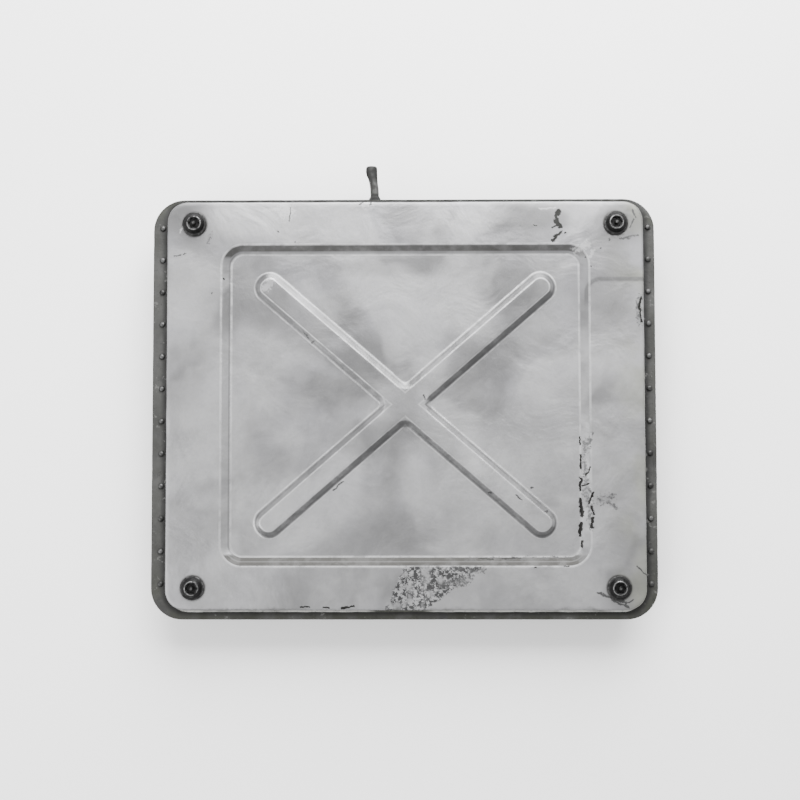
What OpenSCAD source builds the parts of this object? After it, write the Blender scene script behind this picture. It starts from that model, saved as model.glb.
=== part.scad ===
// Screw-down sheet steel access cover on a riveted steel frame.
// X runs left to right, Y runs from front to rear, Z is up, in millimetres.
// The origin is the centre of the anchor hole pattern, on the underside of the frame's feet.

/* [Cover] */
// Overall width of the cover
cover_w = 500; // [480:1:520]
// Overall depth of the cover, front to rear
cover_d = 427; // [415:1:440]
// Corner radius of the cover in plan
cover_corner_r = 21.5; // [15:0.5:30]
// Thickness of the pressed sheet
sheet_t = 2.2; // [1.5:0.1:3]
// Width of the hem folded back under the cover's edge
hem_w = 14; // [10:0.5:18]

/* [Pressed panel] */
// Width of the sunken panel at its upper edge
panel_w = 384; // [340:1:386]
// Depth of the sunken panel at its upper edge, front to rear
panel_d = 335; // [300:1:336]
// Corner radius of the panel at its upper edge
panel_corner_r = 22; // [15:0.5:30]
// How far the panel is pressed below the rim
panel_drop = 5; // [3:0.5:6]
// Width in plan of the sloping flank round the panel
panel_flank_w = 8.5; // [5:0.5:10]

/* [Stiffening cross] */
// Half the distance between the arm ends, along X
arm_reach_x = 142; // [120:0.5:150]
// Half the distance between the arm ends, along Y
arm_reach_y = 123; // [100:0.5:130]
// Width of the flat top of an arm
arm_flat_w = 19; // [12:0.5:26]
// Width in plan of an arm's sloping flank
arm_flank_w = 6; // [4:0.5:8]
// Height of the arms above the panel
arm_rise = 4.5; // [2:0.5:5]

/* [Security screws] */
// Distance between screw centres, left to right
screw_span_x = 442; // [438:1:448]
// Distance between screw centres, front to rear
screw_span_y = 380; // [376:1:384]
// Thread diameter of the screws
screw_d = 12; // [10:1:12]
// Length of the screws under the head
screw_l = 30; // [28:1:34]
// Diameter of the button heads
head_d = 21; // [18:0.5:22]
// Height of the button heads
head_h = 6.6; // [5:0.1:7]
// Diameter across the lobes of the star recess
recess_d = 12.4; // [10:0.1:13]
// Outside diameter of the sealing washers
washer_d = 25; // [24:0.5:28]

/* [Frame] */
// Height of the frame, from the feet to the top of the frame plate
frame_h = 50; // [46:1:90]
// Thickness of the frame plate, rails and walls
frame_t = 3; // [2:0.5:4]
// Width of frame plate left showing on the cover's left
margin_left = 16; // [13:0.5:20]
// Width of frame plate left showing on the cover's right
margin_right = 13; // [12:0.5:20]
// Width of frame plate left showing in front of the cover
margin_front = 10.5; // [6:0.5:20]
// Width of frame plate left showing behind the cover
margin_rear = 4; // [3:0.5:20]
// Corner radius of the frame plate
frame_corner_r = 33; // [26:1:36]
// Clear opening through the frame, left to right
opening_w = 392; // [386:1:400]
// Clear opening through the frame, front to rear
opening_d = 342; // [338:1:350]

/* [Gasket] */
// Thickness of the gasket when the cover is screwed down
gasket_t = 4; // [3:0.5:6]
// Width of the gasket strip
gasket_w = 12; // [8:0.5:12]
// How far the gasket's front run shows past the cover
gasket_show = 2.3; // [0:0.1:3]

/* [Rivets and anchors] */
// Rivets on each side
rivets_a_side = 12; // [6:1:12]
// Spacing of the rivets
rivet_pitch = 34; // [30:0.5:34]
// Distance from the centre line to the rivet lines
rivet_x = 256; // [254:0.1:256.5]
// Diameter of the rivet heads
rivet_head_d = 6.6; // [5:0.1:7.5]
// Distance between anchor holes, left to right
anchor_span_x = 444; // [436:1:448]
// Distance between anchor holes, front to rear
anchor_span_y = 240; // [200:5:280]
// Diameter of the anchor holes
anchor_d = 11; // [9:0.5:12]

/* [Hidden] */

$fn = 96;
eps = 0.01;

// Levels
plate_top = frame_h;
plate_under = plate_top - frame_t;
hem_under = plate_top + gasket_t;
rim_top = hem_under + 2 * sheet_t;
rim_under = rim_top - sheet_t;
panel_top = rim_top - panel_drop;
panel_under = panel_top - sheet_t;
arm_top = panel_top + arm_rise;

// Sealing washer, bonded rubber below and steel above
seal_t = 1.5;
washer_t = 1.5;
head_under = rim_top + seal_t + washer_t;
head_top = head_under + head_h;

// Clearances
screw_hole_d = screw_d + 1.5;
running_gap = 0.05;
gasket_inset = 2;

// Frame plate outline
plate_left = -cover_w / 2 - margin_left;
plate_right = cover_w / 2 + margin_right;
plate_front = -cover_d / 2 - margin_front;
plate_rear = cover_d / 2 + margin_rear;
opening_corner_r = 20;

// Rails and walls below the plate
web_x = 240;
web_y = 204;
rail_toe_x = 260.5;
rail_leg_y = 192;
foot_w = 32;
foot_wall_w = 22;

// Weld nuts
nut_across = 18;
nut_h = 10;
nut_face_d = 17.5;
hex_ratio = 2 / sqrt(3);

// Rivets
rivet_d = 4;
rivet_head_h = 2.3;
rivet_tail_d = 6;
rivet_tail_h = 1.6;

// Fixing lug
lug_root_x = -32;
lug_tip_x = -35.5;
lug_rod_d = 9.4;
lug_tip_w = 12.5;
lug_tip_y = 255;
lug_bend_y = 236;
lug_gap = 0.2;
lug_z = plate_under - lug_rod_d / 2 - lug_gap;

// A rectangle centred on the origin with rounded corners
module rounded_rect(w, d, r) {
    square([w, d - 2 * r], center = true);
    square([w - 2 * r, d], center = true);
    for (x = [-1, 1], y = [-1, 1])
        translate([x * (w / 2 - r), y * (d / 2 - r)])
            circle(r);
}

// A rounded rectangle given by its four sides
module rounded_bounds(left, right, front, rear, r) {
    translate([(left + right) / 2, (front + rear) / 2])
        rounded_rect(right - left, rear - front, r);
}

// The section of a slab with a half round edge: from x = 0 out to the given reach
module bullnose_section(reach, t) {
    square([reach - t / 2, t]);
    translate([reach - t / 2, t / 2])
        circle(t / 2);
}

// A straight side of a bullnose slab, facing +X
module bullnose_side(length, reach, t) {
    rotate([90, 0, 0])
        linear_extrude(length, center = true)
            bullnose_section(reach, t);
}

// A slab whose edge is a full half round, standing on z = 0
module bullnose_slab(w, d, r, t) {
    run_x = w / 2 - r;
    run_y = d / 2 - r;
    linear_extrude(t)
        square([2 * run_x, 2 * run_y], center = true);
    for (turn = [0, 180])
        rotate([0, 0, turn]) {
            translate([run_x, 0, 0])
                bullnose_side(2 * run_y, r, t);
            translate([0, run_y, 0])
                rotate([0, 0, 90])
                    bullnose_side(2 * run_x, r, t);
            translate([run_x, run_y, 0])
                rotate_extrude(angle = 90)
                    bullnose_section(r, t);
            translate([-run_x, run_y, 0])
                rotate([0, 0, 90])
                    rotate_extrude(angle = 90)
                        bullnose_section(r, t);
        }
}

// A trapezium prism along Y, wide at one height and narrow at the other
module tapered_bar(length, w_low, w_high, z_low, z_high) {
    rotate([90, 0, 0])
        linear_extrude(length, center = true)
            polygon([
                [-w_low / 2, z_low],
                [w_low / 2, z_low],
                [w_high / 2, z_high],
                [-w_high / 2, z_high]
            ]);
}

// A rounded rectangle that widens from z_low to z_high; r is the upper corner radius
module dish(w, d, r, flank, z_low, z_high) {
    run_x = w - 2 * r;
    run_y = d - 2 * r;
    tapered_bar(run_y, w - 2 * flank, w, z_low, z_high);
    rotate([0, 0, 90])
        tapered_bar(run_x, d - 2 * flank, d, z_low, z_high);
    for (x = [-1, 1], y = [-1, 1])
        translate([x * run_x / 2, y * run_y / 2, z_low])
            cylinder(h = z_high - z_low, r1 = r - flank, r2 = r);
}

// The cross of two round-ended arms that narrow from z_low to z_high
module cross(w_low, w_high, z_low, z_high) {
    arm_angle = atan2(arm_reach_x, arm_reach_y);
    arm_length = 2 * norm([arm_reach_x, arm_reach_y]);
    for (side = [-1, 1])
        rotate([0, 0, side * arm_angle]) {
            tapered_bar(arm_length, w_low, w_high, z_low, z_high);
            for (end = [-1, 1])
                translate([0, end * arm_length / 2, z_low])
                    cylinder(h = z_high - z_low, r1 = w_low / 2, r2 = w_high / 2);
        }
}

// Places its children at one screw position
module at_screw(side_x, side_y) {
    translate([side_x * screw_span_x / 2, side_y * screw_span_y / 2, 0])
        children();
}

module at_all_screws() {
    for (x = [-1, 1], y = [-1, 1])
        at_screw(x, y)
            children();
}

module rivet_row(side_x) {
    for (i = [0:rivets_a_side - 1])
        translate([side_x * rivet_x, (i - (rivets_a_side - 1) / 2) * rivet_pitch, 0])
            children();
}

module ring(r_out, r_in, z_low, z_high) {
    translate([0, 0, z_low])
        linear_extrude(z_high - z_low)
            difference() {
                circle(r_out);
                circle(r_in);
            }
}

module frame_plate() {
    color("dimgray")
        difference() {
            translate([0, 0, plate_under])
                linear_extrude(frame_t)
                    difference() {
                        rounded_bounds(plate_left, plate_right, plate_front, plate_rear,
                                       frame_corner_r);
                        rounded_rect(opening_w, opening_d, opening_corner_r);
                    }
            at_all_screws()
                translate([0, 0, plate_under - eps])
                    cylinder(h = frame_t + 2 * eps, d = screw_hole_d);
            for (side = [-1, 1])
                rivet_row(side)
                    translate([0, 0, plate_under - eps])
                        cylinder(h = frame_t + 2 * eps, d = rivet_d + 2 * running_gap);
        }
}

// A rail of Z section for the right-hand side: leg out at the top, foot in at the bottom
module rail_section() {
    translate([web_x, -web_y - frame_t, 0])
        cube([frame_t, 2 * (web_y + frame_t), plate_under]);
    translate([web_x, -rail_leg_y, plate_under - frame_t])
        cube([rail_toe_x - web_x, 2 * rail_leg_y, frame_t]);
    translate([web_x + frame_t - foot_w, -web_y, 0])
        cube([foot_w, 2 * web_y, frame_t]);
}

module rail(side_x) {
    difference() {
        if (side_x > 0)
            rail_section();
        else
            mirror([1, 0, 0])
                rail_section();
        for (y = [-1, 1])
            translate([side_x * anchor_span_x / 2, y * anchor_span_y / 2, -eps])
                cylinder(h = frame_t + 2 * eps, d = anchor_d);
        rivet_row(side_x)
            translate([0, 0, plate_under - frame_t - eps])
                cylinder(h = frame_t + 2 * eps, d = rivet_d + 2 * running_gap);
    }
}

module rail_left() {
    color("slategray")
        rail(-1);
}

module rail_right() {
    color("slategray")
        rail(1);
}

// A wall of L section for the rear, set between the rails
module wall_section() {
    translate([-web_x, web_y, 0])
        cube([2 * web_x, frame_t, plate_under]);
    translate([-web_x - frame_t + foot_w, web_y + frame_t - foot_wall_w, 0])
        cube([2 * (web_x + frame_t - foot_w), foot_wall_w, frame_t]);
}

module wall_front() {
    color("slategray")
        mirror([0, 1, 0])
            wall_section();
}

module wall_rear() {
    color("slategray")
        wall_section();
}

// A cap of a sphere with the given base diameter and height, standing on z = 0
module dome(d, h) {
    ball_r = (d * d / 4 + h * h) / (2 * h);
    intersection() {
        translate([0, 0, h - ball_r])
            sphere(ball_r);
        cylinder(h = h, d = d);
    }
}

module rivets(side_x) {
    rivet_row(side_x) {
        translate([0, 0, plate_top])
            dome(rivet_head_d, rivet_head_h);
        translate([0, 0, plate_under - frame_t])
            cylinder(h = 2 * frame_t, d = rivet_d);
        translate([0, 0, plate_under - frame_t - rivet_tail_h])
            cylinder(h = rivet_tail_h, d = rivet_tail_d);
    }
}

module rivets_left() {
    color("gray")
        rivets(-1);
}

module rivets_right() {
    color("gray")
        rivets(1);
}

// A bar welded to the rear wall, bent aside and flattened at its end to key into concrete
module fixing_lug() {
    tip_centre_y = lug_tip_y - lug_tip_w / 2;
    bend_angle = atan2(lug_root_x - lug_tip_x, tip_centre_y - lug_bend_y);
    color("dimgray") {
        translate([lug_root_x, web_y + frame_t, lug_z])
            rotate([-90, 0, 0])
                cylinder(h = lug_bend_y - web_y - frame_t, d = lug_rod_d);
        translate([lug_root_x, lug_bend_y, lug_z])
            sphere(d = lug_rod_d);
        translate([lug_root_x, lug_bend_y, lug_z])
            rotate([-90, 0, bend_angle])
                cylinder(h = norm([lug_root_x - lug_tip_x, tip_centre_y - lug_bend_y]),
                         d = lug_rod_d);
        translate([lug_tip_x, tip_centre_y, lug_z - lug_rod_d / 2])
            cylinder(h = lug_rod_d, d = lug_tip_w);
    }
}

module gasket() {
    side_x = cover_w / 2 - gasket_inset;
    front = -cover_d / 2 - gasket_show;
    rear = cover_d / 2 - gasket_inset;
    inner_front = front + gasket_w + gasket_show;
    color("darkslategray")
        translate([0, 0, plate_top])
            linear_extrude(gasket_t)
                difference() {
                    rounded_bounds(-side_x, side_x, front, rear, cover_corner_r);
                    rounded_bounds(-side_x + gasket_w, side_x - gasket_w, inner_front,
                                   rear - gasket_w, cover_corner_r - gasket_w);
                }
}

// The pressed sheet: hemmed rim, sunken panel and raised cross, all of one thickness
module cover() {
    slope = panel_flank_w / panel_drop;
    grow = 2 * slope * sheet_t;
    arm_base_w = arm_flat_w + 2 * arm_flank_w;
    color("silver")
        difference() {
            union() {
                difference() {
                    translate([0, 0, hem_under])
                        bullnose_slab(cover_w, cover_d, cover_corner_r, 2 * sheet_t);
                    translate([0, 0, hem_under - eps])
                        linear_extrude(sheet_t + eps)
                            rounded_rect(cover_w - 2 * hem_w, cover_d - 2 * hem_w,
                                         cover_corner_r - hem_w);
                }
                dish(panel_w + grow, panel_d + grow, panel_corner_r + grow / 2,
                     panel_flank_w + grow / 2, panel_under, rim_top);
            }
            difference() {
                dish(panel_w, panel_d, panel_corner_r, panel_flank_w, panel_top, rim_top);
                cross(arm_base_w, arm_flat_w, panel_top - eps, arm_top);
            }
            cross(arm_base_w, arm_flat_w, panel_under, arm_top - sheet_t);
            at_all_screws()
                translate([0, 0, rim_under - eps])
                    cylinder(h = sheet_t + 2 * eps, d = screw_hole_d);
        }
}

// The star recess of a screw head: a round hole with six lobes
module star(d) {
    lobe_r = 0.13 * d;
    core_r = 0.39 * d;
    circle(core_r);
    for (i = [0:5])
        rotate(i * 60)
            translate([d / 2 - lobe_r, 0])
                circle(lobe_r);
}

module screw(side_x, side_y) {
    recess_depth = 4.4;
    pin_d = 4;
    pin_drop = 0.9;
    tip_chamfer = 1.5;
    color("black")
        at_screw(side_x, side_y) {
            difference() {
                translate([0, 0, head_under])
                    dome(head_d, head_h);
                translate([0, 0, head_top - recess_depth])
                    linear_extrude(recess_depth + 1)
                        star(recess_d);
            }
            translate([0, 0, head_top - recess_depth - eps])
                cylinder(h = recess_depth - pin_drop + eps, d = pin_d);
            translate([0, 0, head_under - screw_l + tip_chamfer])
                cylinder(h = screw_l - tip_chamfer + eps, d = screw_d);
            translate([0, 0, head_under - screw_l])
                cylinder(h = tip_chamfer, d1 = screw_d - 2 * tip_chamfer, d2 = screw_d);
        }
}

module screw_rear_left() {
    screw(-1, 1);
}

module screw_rear_right() {
    screw(1, 1);
}

module screw_front_left() {
    screw(-1, -1);
}

module screw_front_right() {
    screw(1, -1);
}

module washer(side_x, side_y) {
    color("darkslategray")
        at_screw(side_x, side_y)
            ring(washer_d / 2, screw_d / 2 + running_gap, rim_top + seal_t, head_under);
}

module washer_rear_left() {
    washer(-1, 1);
}

module washer_rear_right() {
    washer(1, 1);
}

module washer_front_left() {
    washer(-1, -1);
}

module washer_front_right() {
    washer(1, -1);
}

module seal(side_x, side_y) {
    outer_r = washer_d / 2 - 0.5;
    inner_r = screw_d / 2 + 1.5;
    color("black")
        at_screw(side_x, side_y)
            ring(outer_r, inner_r, rim_top, rim_top + seal_t);
}

module seal_rear_left() {
    seal(-1, 1);
}

module seal_rear_right() {
    seal(1, 1);
}

module seal_front_left() {
    seal(-1, -1);
}

module seal_front_right() {
    seal(1, -1);
}

// A short tube that stops the rim bending down when its screw is tightened
module spacer(side_x, side_y) {
    spacer_d = 18;
    color("gray")
        at_screw(side_x, side_y)
            ring(spacer_d / 2, screw_hole_d / 2, plate_top, rim_under);
}

module spacer_rear_left() {
    spacer(-1, 1);
}

module spacer_rear_right() {
    spacer(1, 1);
}

module spacer_front_left() {
    spacer(-1, -1);
}

module spacer_front_right() {
    spacer(1, -1);
}

// A hexagon nut welded to the underside of the frame plate
module nut(side_x, side_y) {
    corner_d = nut_across * hex_ratio;
    color("gray")
        at_screw(side_x, side_y)
            translate([0, 0, plate_under - nut_h])
                difference() {
                    intersection() {
                        rotate([0, 0, 30])
                            cylinder(h = nut_h, d = corner_d, $fn = 6);
                        cylinder(h = nut_h, d1 = nut_face_d,
                                 d2 = nut_face_d + 2 * nut_h * sqrt(3));
                    }
                    translate([0, 0, -eps])
                        cylinder(h = nut_h + 2 * eps, d = screw_d + 2 * running_gap);
                }
}

module nut_rear_left() {
    nut(-1, 1);
}

module nut_rear_right() {
    nut(1, 1);
}

module nut_front_left() {
    nut(-1, -1);
}

module nut_front_right() {
    nut(1, -1);
}

frame_plate();
rail_left();
rail_right();
wall_front();
wall_rear();
rivets_left();
rivets_right();
fixing_lug();
gasket();
cover();
screw_rear_left();
screw_rear_right();
screw_front_left();
screw_front_right();
washer_rear_left();
washer_rear_right();
washer_front_left();
washer_front_right();
seal_rear_left();
seal_rear_right();
seal_front_left();
seal_front_right();
spacer_rear_left();
spacer_rear_right();
spacer_front_left();
spacer_front_right();
nut_rear_left();
nut_rear_right();
nut_front_left();
nut_front_right();
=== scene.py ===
import math

import bmesh
import bpy
from bpy.props import FloatProperty, FloatVectorProperty, IntProperty, PointerProperty
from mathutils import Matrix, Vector


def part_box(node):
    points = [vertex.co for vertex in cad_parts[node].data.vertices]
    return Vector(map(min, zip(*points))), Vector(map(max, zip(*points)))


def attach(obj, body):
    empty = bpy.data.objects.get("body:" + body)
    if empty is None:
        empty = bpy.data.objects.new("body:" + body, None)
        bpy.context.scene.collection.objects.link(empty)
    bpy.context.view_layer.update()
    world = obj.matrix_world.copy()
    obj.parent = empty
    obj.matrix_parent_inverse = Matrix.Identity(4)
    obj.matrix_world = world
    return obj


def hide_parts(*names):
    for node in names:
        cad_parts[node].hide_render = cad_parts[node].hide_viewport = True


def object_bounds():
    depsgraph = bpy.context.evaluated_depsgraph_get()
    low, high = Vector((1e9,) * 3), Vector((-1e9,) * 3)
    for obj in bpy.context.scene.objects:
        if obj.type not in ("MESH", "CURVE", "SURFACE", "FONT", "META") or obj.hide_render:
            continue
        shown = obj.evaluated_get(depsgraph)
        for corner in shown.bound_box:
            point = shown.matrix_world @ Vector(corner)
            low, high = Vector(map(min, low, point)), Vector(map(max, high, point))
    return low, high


bl_info = {
    "name": "Screw-down access cover",
    "version": (1, 0, 0),
    "blender": (4, 5, 0),
    "location": "3D View > Sidebar > Access cover",
    "description": "Builds the pressed cover, its frame and its fastenings around the measured frame",
    "category": "Object",
}

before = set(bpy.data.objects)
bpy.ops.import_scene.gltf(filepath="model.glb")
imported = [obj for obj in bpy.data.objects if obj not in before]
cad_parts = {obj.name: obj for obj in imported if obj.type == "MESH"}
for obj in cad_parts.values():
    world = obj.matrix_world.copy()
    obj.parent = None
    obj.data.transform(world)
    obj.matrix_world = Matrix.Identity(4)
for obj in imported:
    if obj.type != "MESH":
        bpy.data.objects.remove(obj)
CAD_BOX = [list(corner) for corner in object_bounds()]

MM = 0.001
CORNERS = ("rear_left", "rear_right", "front_left", "front_right")
SAME_PLACE = 1e-6


def node_centre(node):
    low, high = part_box(node)
    return (low + high) / 2


# Levels and outlines that the measured frame gives
COVER_LOW, COVER_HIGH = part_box("cover")
PLATE_LOW, PLATE_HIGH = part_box("frame_plate")
GASKET_LOW, GASKET_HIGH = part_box("gasket")
LUG_LOW, LUG_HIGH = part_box("fixing_lug")
RIM_TOP = COVER_HIGH.z
HEM_UNDER = GASKET_HIGH.z
SCREW_SPOTS = {corner: node_centre("washer_" + corner) for corner in CORNERS}


# ---------------------------------------------------------------- sizes and colours


def length(name, description, default, low=0.0, high=1.0):
    return FloatProperty(name=name, description=description, default=default, min=low, max=high,
                         unit="LENGTH", precision=5)


def paint(name, description, default):
    return FloatVectorProperty(name=name, description=description, default=default, size=3,
                               min=0.0, max=1.0, subtype="COLOR")


class SheetSettings(bpy.types.PropertyGroup):
    thickness: length("Sheet thickness", "Thickness of the pressed sheet", 2.1 * MM)
    corner: length("Corner radius", "Radius of the cover's corners in plan", 21.5 * MM)
    hem: length("Hem", "Width of the hem folded back under the edge", 14 * MM)
    panel_width: length("Panel width", "Width of the sunken panel at its upper edge", 384 * MM)
    panel_depth: length("Panel depth", "Sunken panel, front to rear, at its upper edge", 335 * MM)
    panel_corner: length("Panel corner", "Radius of the panel's corners in plan", 22 * MM)
    panel_flank: length("Panel flank", "Width in plan of the slope round the panel", 8.5 * MM)
    panel_drop: length("Panel drop", "How far the panel lies below the rim", 5 * MM)
    reach_x: length("Cross reach X", "Half the distance between the arm ends, along X", 142 * MM)
    reach_y: length("Cross reach Y", "Half the distance between the arm ends, along Y", 123 * MM)
    arm_flat: length("Arm flat", "Width of the flat top of an arm", 19 * MM)
    arm_flank: length("Arm flank", "Width in plan of an arm's slope", 6 * MM)
    arm_rise: length("Arm rise", "Height of the arms above the panel", 4.5 * MM)
    press_bend: length("Press bend", "How far each pressed bend runs into its faces", 1.25 * MM)
    hole: length("Screw hole", "Diameter of the screw holes", 13.5 * MM)
    # Painted shade: darkens the upper part of the panel's rear slope in the sheet's colour.
    rear_slope_shade: FloatProperty(name="Painted shade on the rear slope",
                              description="How dark the rear slope is painted, as shade",
                              default=0.78, min=0.0, max=1.0, subtype="FACTOR")
    # Painted highlight along the pressed bends, partly rubbed wear.
    bend_highlight_and_wear: FloatProperty(name="Highlight and wear on the bends", description="How bright the pressed bends are painted, as highlight and wear",
                             default=0.7, min=0.0, max=1.0, subtype="FACTOR")
    zinc: paint("Zinc", "Colour of the weathered zinc", (0.23, 0.23, 0.233))
    # Colour of dirt, and of painted shade on the rear slope, round the washers and under the hem.
    grime_and_shade: paint("Grime", "Colour of the dirt in the pressed corners", (0.035, 0.034, 0.031))


class FrameSettings(bpy.types.PropertyGroup):
    plate: length("Plate", "Thickness of the frame plate", 3 * MM)
    corner: length("Corner radius", "Radius of the frame plate's corners in plan", 33 * MM)
    opening_width: length("Opening width", "Clear opening, left to right", 392 * MM)
    opening_depth: length("Opening depth", "Clear opening, front to rear", 342 * MM)
    edge: length("Worn edge", "Rounding of the plate's edges", 0.7 * MM)
    gasket_width: length("Gasket width", "Width of the gasket strip", 12 * MM)
    rivets: IntProperty(name="Rivets a side", description="Rivets on each side of the frame",
                        default=12, min=1, max=20)
    pitch: length("Rivet pitch", "Spacing of the rivets", 34 * MM)
    steel: paint("Steel", "Colour of the frame's dark steel", (0.028, 0.028, 0.027))
    rust: paint("Moss and rust", "Tint of the dirt that lies on the frame", (0.022, 0.023, 0.017))


class FastenerSettings(bpy.types.PropertyGroup):
    head: length("Head", "Diameter of the button heads", 21 * MM)
    height: length("Head height", "Full height of the head's dome", 6.6 * MM)
    recess_depth: length("Recess depth", "Depth of the star recess below the dome's top", 4.4 * MM)
    pin: length("Pin", "Diameter of the pin in the recess", 4 * MM)
    pin_drop: length("Pin drop", "How far the pin lies below the dome's top", 0.9 * MM)
    recess: length("Recess", "Diameter across the lobes of the star recess", 12.4 * MM)
    thread: length("Thread", "Outside diameter of the thread", 11.9 * MM)
    pitch: length("Thread pitch", "Rise of the thread in one turn", 1.75 * MM)
    black: paint("Black steel", "Colour of the blackened screws", (0.011, 0.011, 0.011))
    rubber: paint("Rubber", "Colour of the gasket and the sealing rings", (0.04, 0.04, 0.038))


class StageSettings(bpy.types.PropertyGroup):
    floor: paint("Floor", "Colour of the floor", (0.97, 0.97, 0.97))
    sky: FloatProperty(name="Sky", description="Strength of the even light", default=0.86)
    rear_light: FloatProperty(name="Rear light", description="Power of the rear soft light, in watts",
                              default=170.0)
    side_light: FloatProperty(name="Side light", description="Power of the side soft light, in watts",
                              default=45.0)
    distance: length("Camera distance", "Distance from the camera to the cover", 1.2, high=10.0)
    lens: FloatProperty(name="Lens", description="Focal length in millimetres", default=51.78)


# ---------------------------------------------------------------- modelling by hand, in small steps


class shaping:
    """Edit mode on the active piece, for as long as the block lasts."""

    def __enter__(self):
        bpy.ops.object.mode_set(mode="EDIT")

    def __exit__(self, *error):
        bpy.ops.object.mode_set(mode="OBJECT")


def only(piece):
    bpy.ops.object.select_all(action="DESELECT")
    piece.select_set(True)
    bpy.context.view_layer.objects.active = piece


def start(name, add, **settings):
    """Adds a primitive as the only selected piece, with its place in its mesh."""
    bpy.ops.object.select_all(action="DESELECT")
    add(**settings)
    piece = bpy.context.object
    piece.name = piece.data.name = name
    bpy.ops.object.transform_apply(location=True, rotation=True, scale=True)
    return piece


def select(kind, test):
    """Selects the corners, edges or faces of the piece in edit mode that pass the test."""
    bpy.ops.mesh.select_mode(type=kind)
    bpy.ops.mesh.select_all(action="DESELECT")
    mesh = bpy.context.object.data
    form = bmesh.from_edit_mesh(mesh)
    found = {"VERT": form.verts, "EDGE": form.edges, "FACE": form.faces}[kind]
    chosen = [part for part in found if test(part)]
    for part in chosen:
        part.select_set(True)
    bmesh.update_edit_mesh(mesh)
    if not chosen:
        raise RuntimeError(f"{bpy.context.object.name}: nothing was selected")
    return len(chosen)


def middle(edge):
    return (edge.verts[0].co + edge.verts[1].co) / 2


def at_level(edge, level):
    return all(abs(corner.co.z - level) < SAME_PLACE for corner in edge.verts)


def folded(edge, degrees):
    return len(edge.link_faces) == 2 and edge.calc_face_angle() > math.radians(degrees)


def raise_by(x, y, z):
    bpy.ops.mesh.extrude_region_move(TRANSFORM_OT_translate={"value": (x, y, z)})


def round_edges(offset, segments):
    bpy.ops.mesh.bevel(offset=offset, segments=segments, affect="EDGES", profile=0.5,
                       loop_slide=False, clamp_overlap=False)


def clip_corners(offset, segments):
    bpy.ops.mesh.bevel(offset=offset, segments=segments, affect="VERTICES", profile=0.5,
                       clamp_overlap=False)


def step_in(thickness, depth=0.0):
    bpy.ops.mesh.inset(thickness=thickness, depth=depth, use_boundary=True, use_even_offset=True)


def rounded_face(name, low, high, level, corner, steps=10):
    """A flat rounded rectangle between two corner points."""
    centre = ((low[0] + high[0]) / 2, (low[1] + high[1]) / 2, level)
    piece = start(name, bpy.ops.mesh.primitive_plane_add, size=1, location=centre)
    with shaping():
        bpy.ops.mesh.select_mode(type="VERT")
        bpy.ops.mesh.select_all(action="SELECT")
        bpy.ops.transform.resize(value=(high[0] - low[0], high[1] - low[1], 1),
                                 center_override=centre)
        clip_corners(corner, steps)
    return piece


def join(name, pieces):
    bpy.ops.object.select_all(action="DESELECT")
    for piece in pieces:
        piece.select_set(True)
    bpy.context.view_layer.objects.active = pieces[0]
    bpy.ops.object.join()
    piece = bpy.context.object
    piece.name = piece.data.name = name
    return piece


def close_up(merge=0.005 * MM):
    """Merges doubles, closes open ends and turns the faces outwards, in edit mode."""
    bpy.ops.mesh.select_mode(type="VERT")
    bpy.ops.mesh.select_all(action="SELECT")
    bpy.ops.mesh.remove_doubles(threshold=merge)
    bpy.ops.mesh.fill_holes(sides=0)
    bpy.ops.mesh.select_all(action="SELECT")
    bpy.ops.mesh.normals_make_consistent(inside=False)


def modify(piece, kind, **settings):
    """Adds one modifier to the piece and applies it."""
    only(piece)
    modifier = piece.modifiers.new(kind.title(), kind)
    for name, value in settings.items():
        setattr(modifier, name, value)
    bpy.ops.object.modifier_apply(modifier=modifier.name)


def turned(name, centre, profile, sides=48, hollow=False):
    """A piece turned on an upright axis; each ring of its profile is (radius, height)."""
    x, y = centre[0], centre[1]
    radius, level = profile[0]
    piece = start(name, bpy.ops.mesh.primitive_circle_add, vertices=sides, radius=radius,
                  fill_type="NOTHING", location=(x, y, level))
    rings = list(profile) + ([profile[0]] if hollow else [])
    with shaping():
        bpy.ops.mesh.select_mode(type="EDGE")
        bpy.ops.mesh.select_all(action="SELECT")
        for (old_radius, old_level), (radius, level) in zip(rings, rings[1:]):
            raise_by(0, 0, level - old_level)
            ratio = radius / old_radius
            bpy.ops.transform.resize(value=(ratio, ratio, 1), center_override=(x, y, level))
        close_up()
    return piece


def copy_to(piece, name, shift):
    """A copy of the piece with its own mesh, moved in the mesh."""
    only(piece)
    bpy.ops.object.duplicate()
    twin = bpy.context.object
    twin.name = twin.data.name = name
    with shaping():
        bpy.ops.mesh.select_all(action="SELECT")
        bpy.ops.transform.translate(value=shift)
    return twin


def slab(name, low, high, corner, edge=0.0, cuts=60):
    """A rounded slab between two corner points, with its upper and lower edges rounded."""
    piece = rounded_face(name, low, high, low.z, corner, 12)
    with shaping():
        select("EDGE", lambda part: part.calc_length() > 50 * MM)
        bpy.ops.mesh.subdivide(number_cuts=cuts)
        bpy.ops.mesh.select_mode(type="FACE")
        bpy.ops.mesh.select_all(action="SELECT")
        raise_by(0, 0, high.z - low.z)
        close_up()
        if edge:
            select("EDGE", lambda part: folded(part, 60))
            round_edges(edge, 3)
    return piece


def cut_away(piece, cutter):
    """Cuts the cutter's shape out of the piece."""
    modify(piece, "BOOLEAN", object=cutter, operation="DIFFERENCE", solver="EXACT")
    bpy.data.objects.remove(cutter)


def ripple(piece, size, strength, midlevel=0.5, group=""):
    """Makes the surface uneven by a little, with a fixed cloud pattern."""
    clouds = bpy.data.textures.new(piece.name + "_clouds", "CLOUDS")
    clouds.noise_scale = size
    modify(piece, "DISPLACE", texture=clouds, texture_coords="LOCAL", strength=strength,
           mid_level=midlevel, vertex_group=group)


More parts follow.
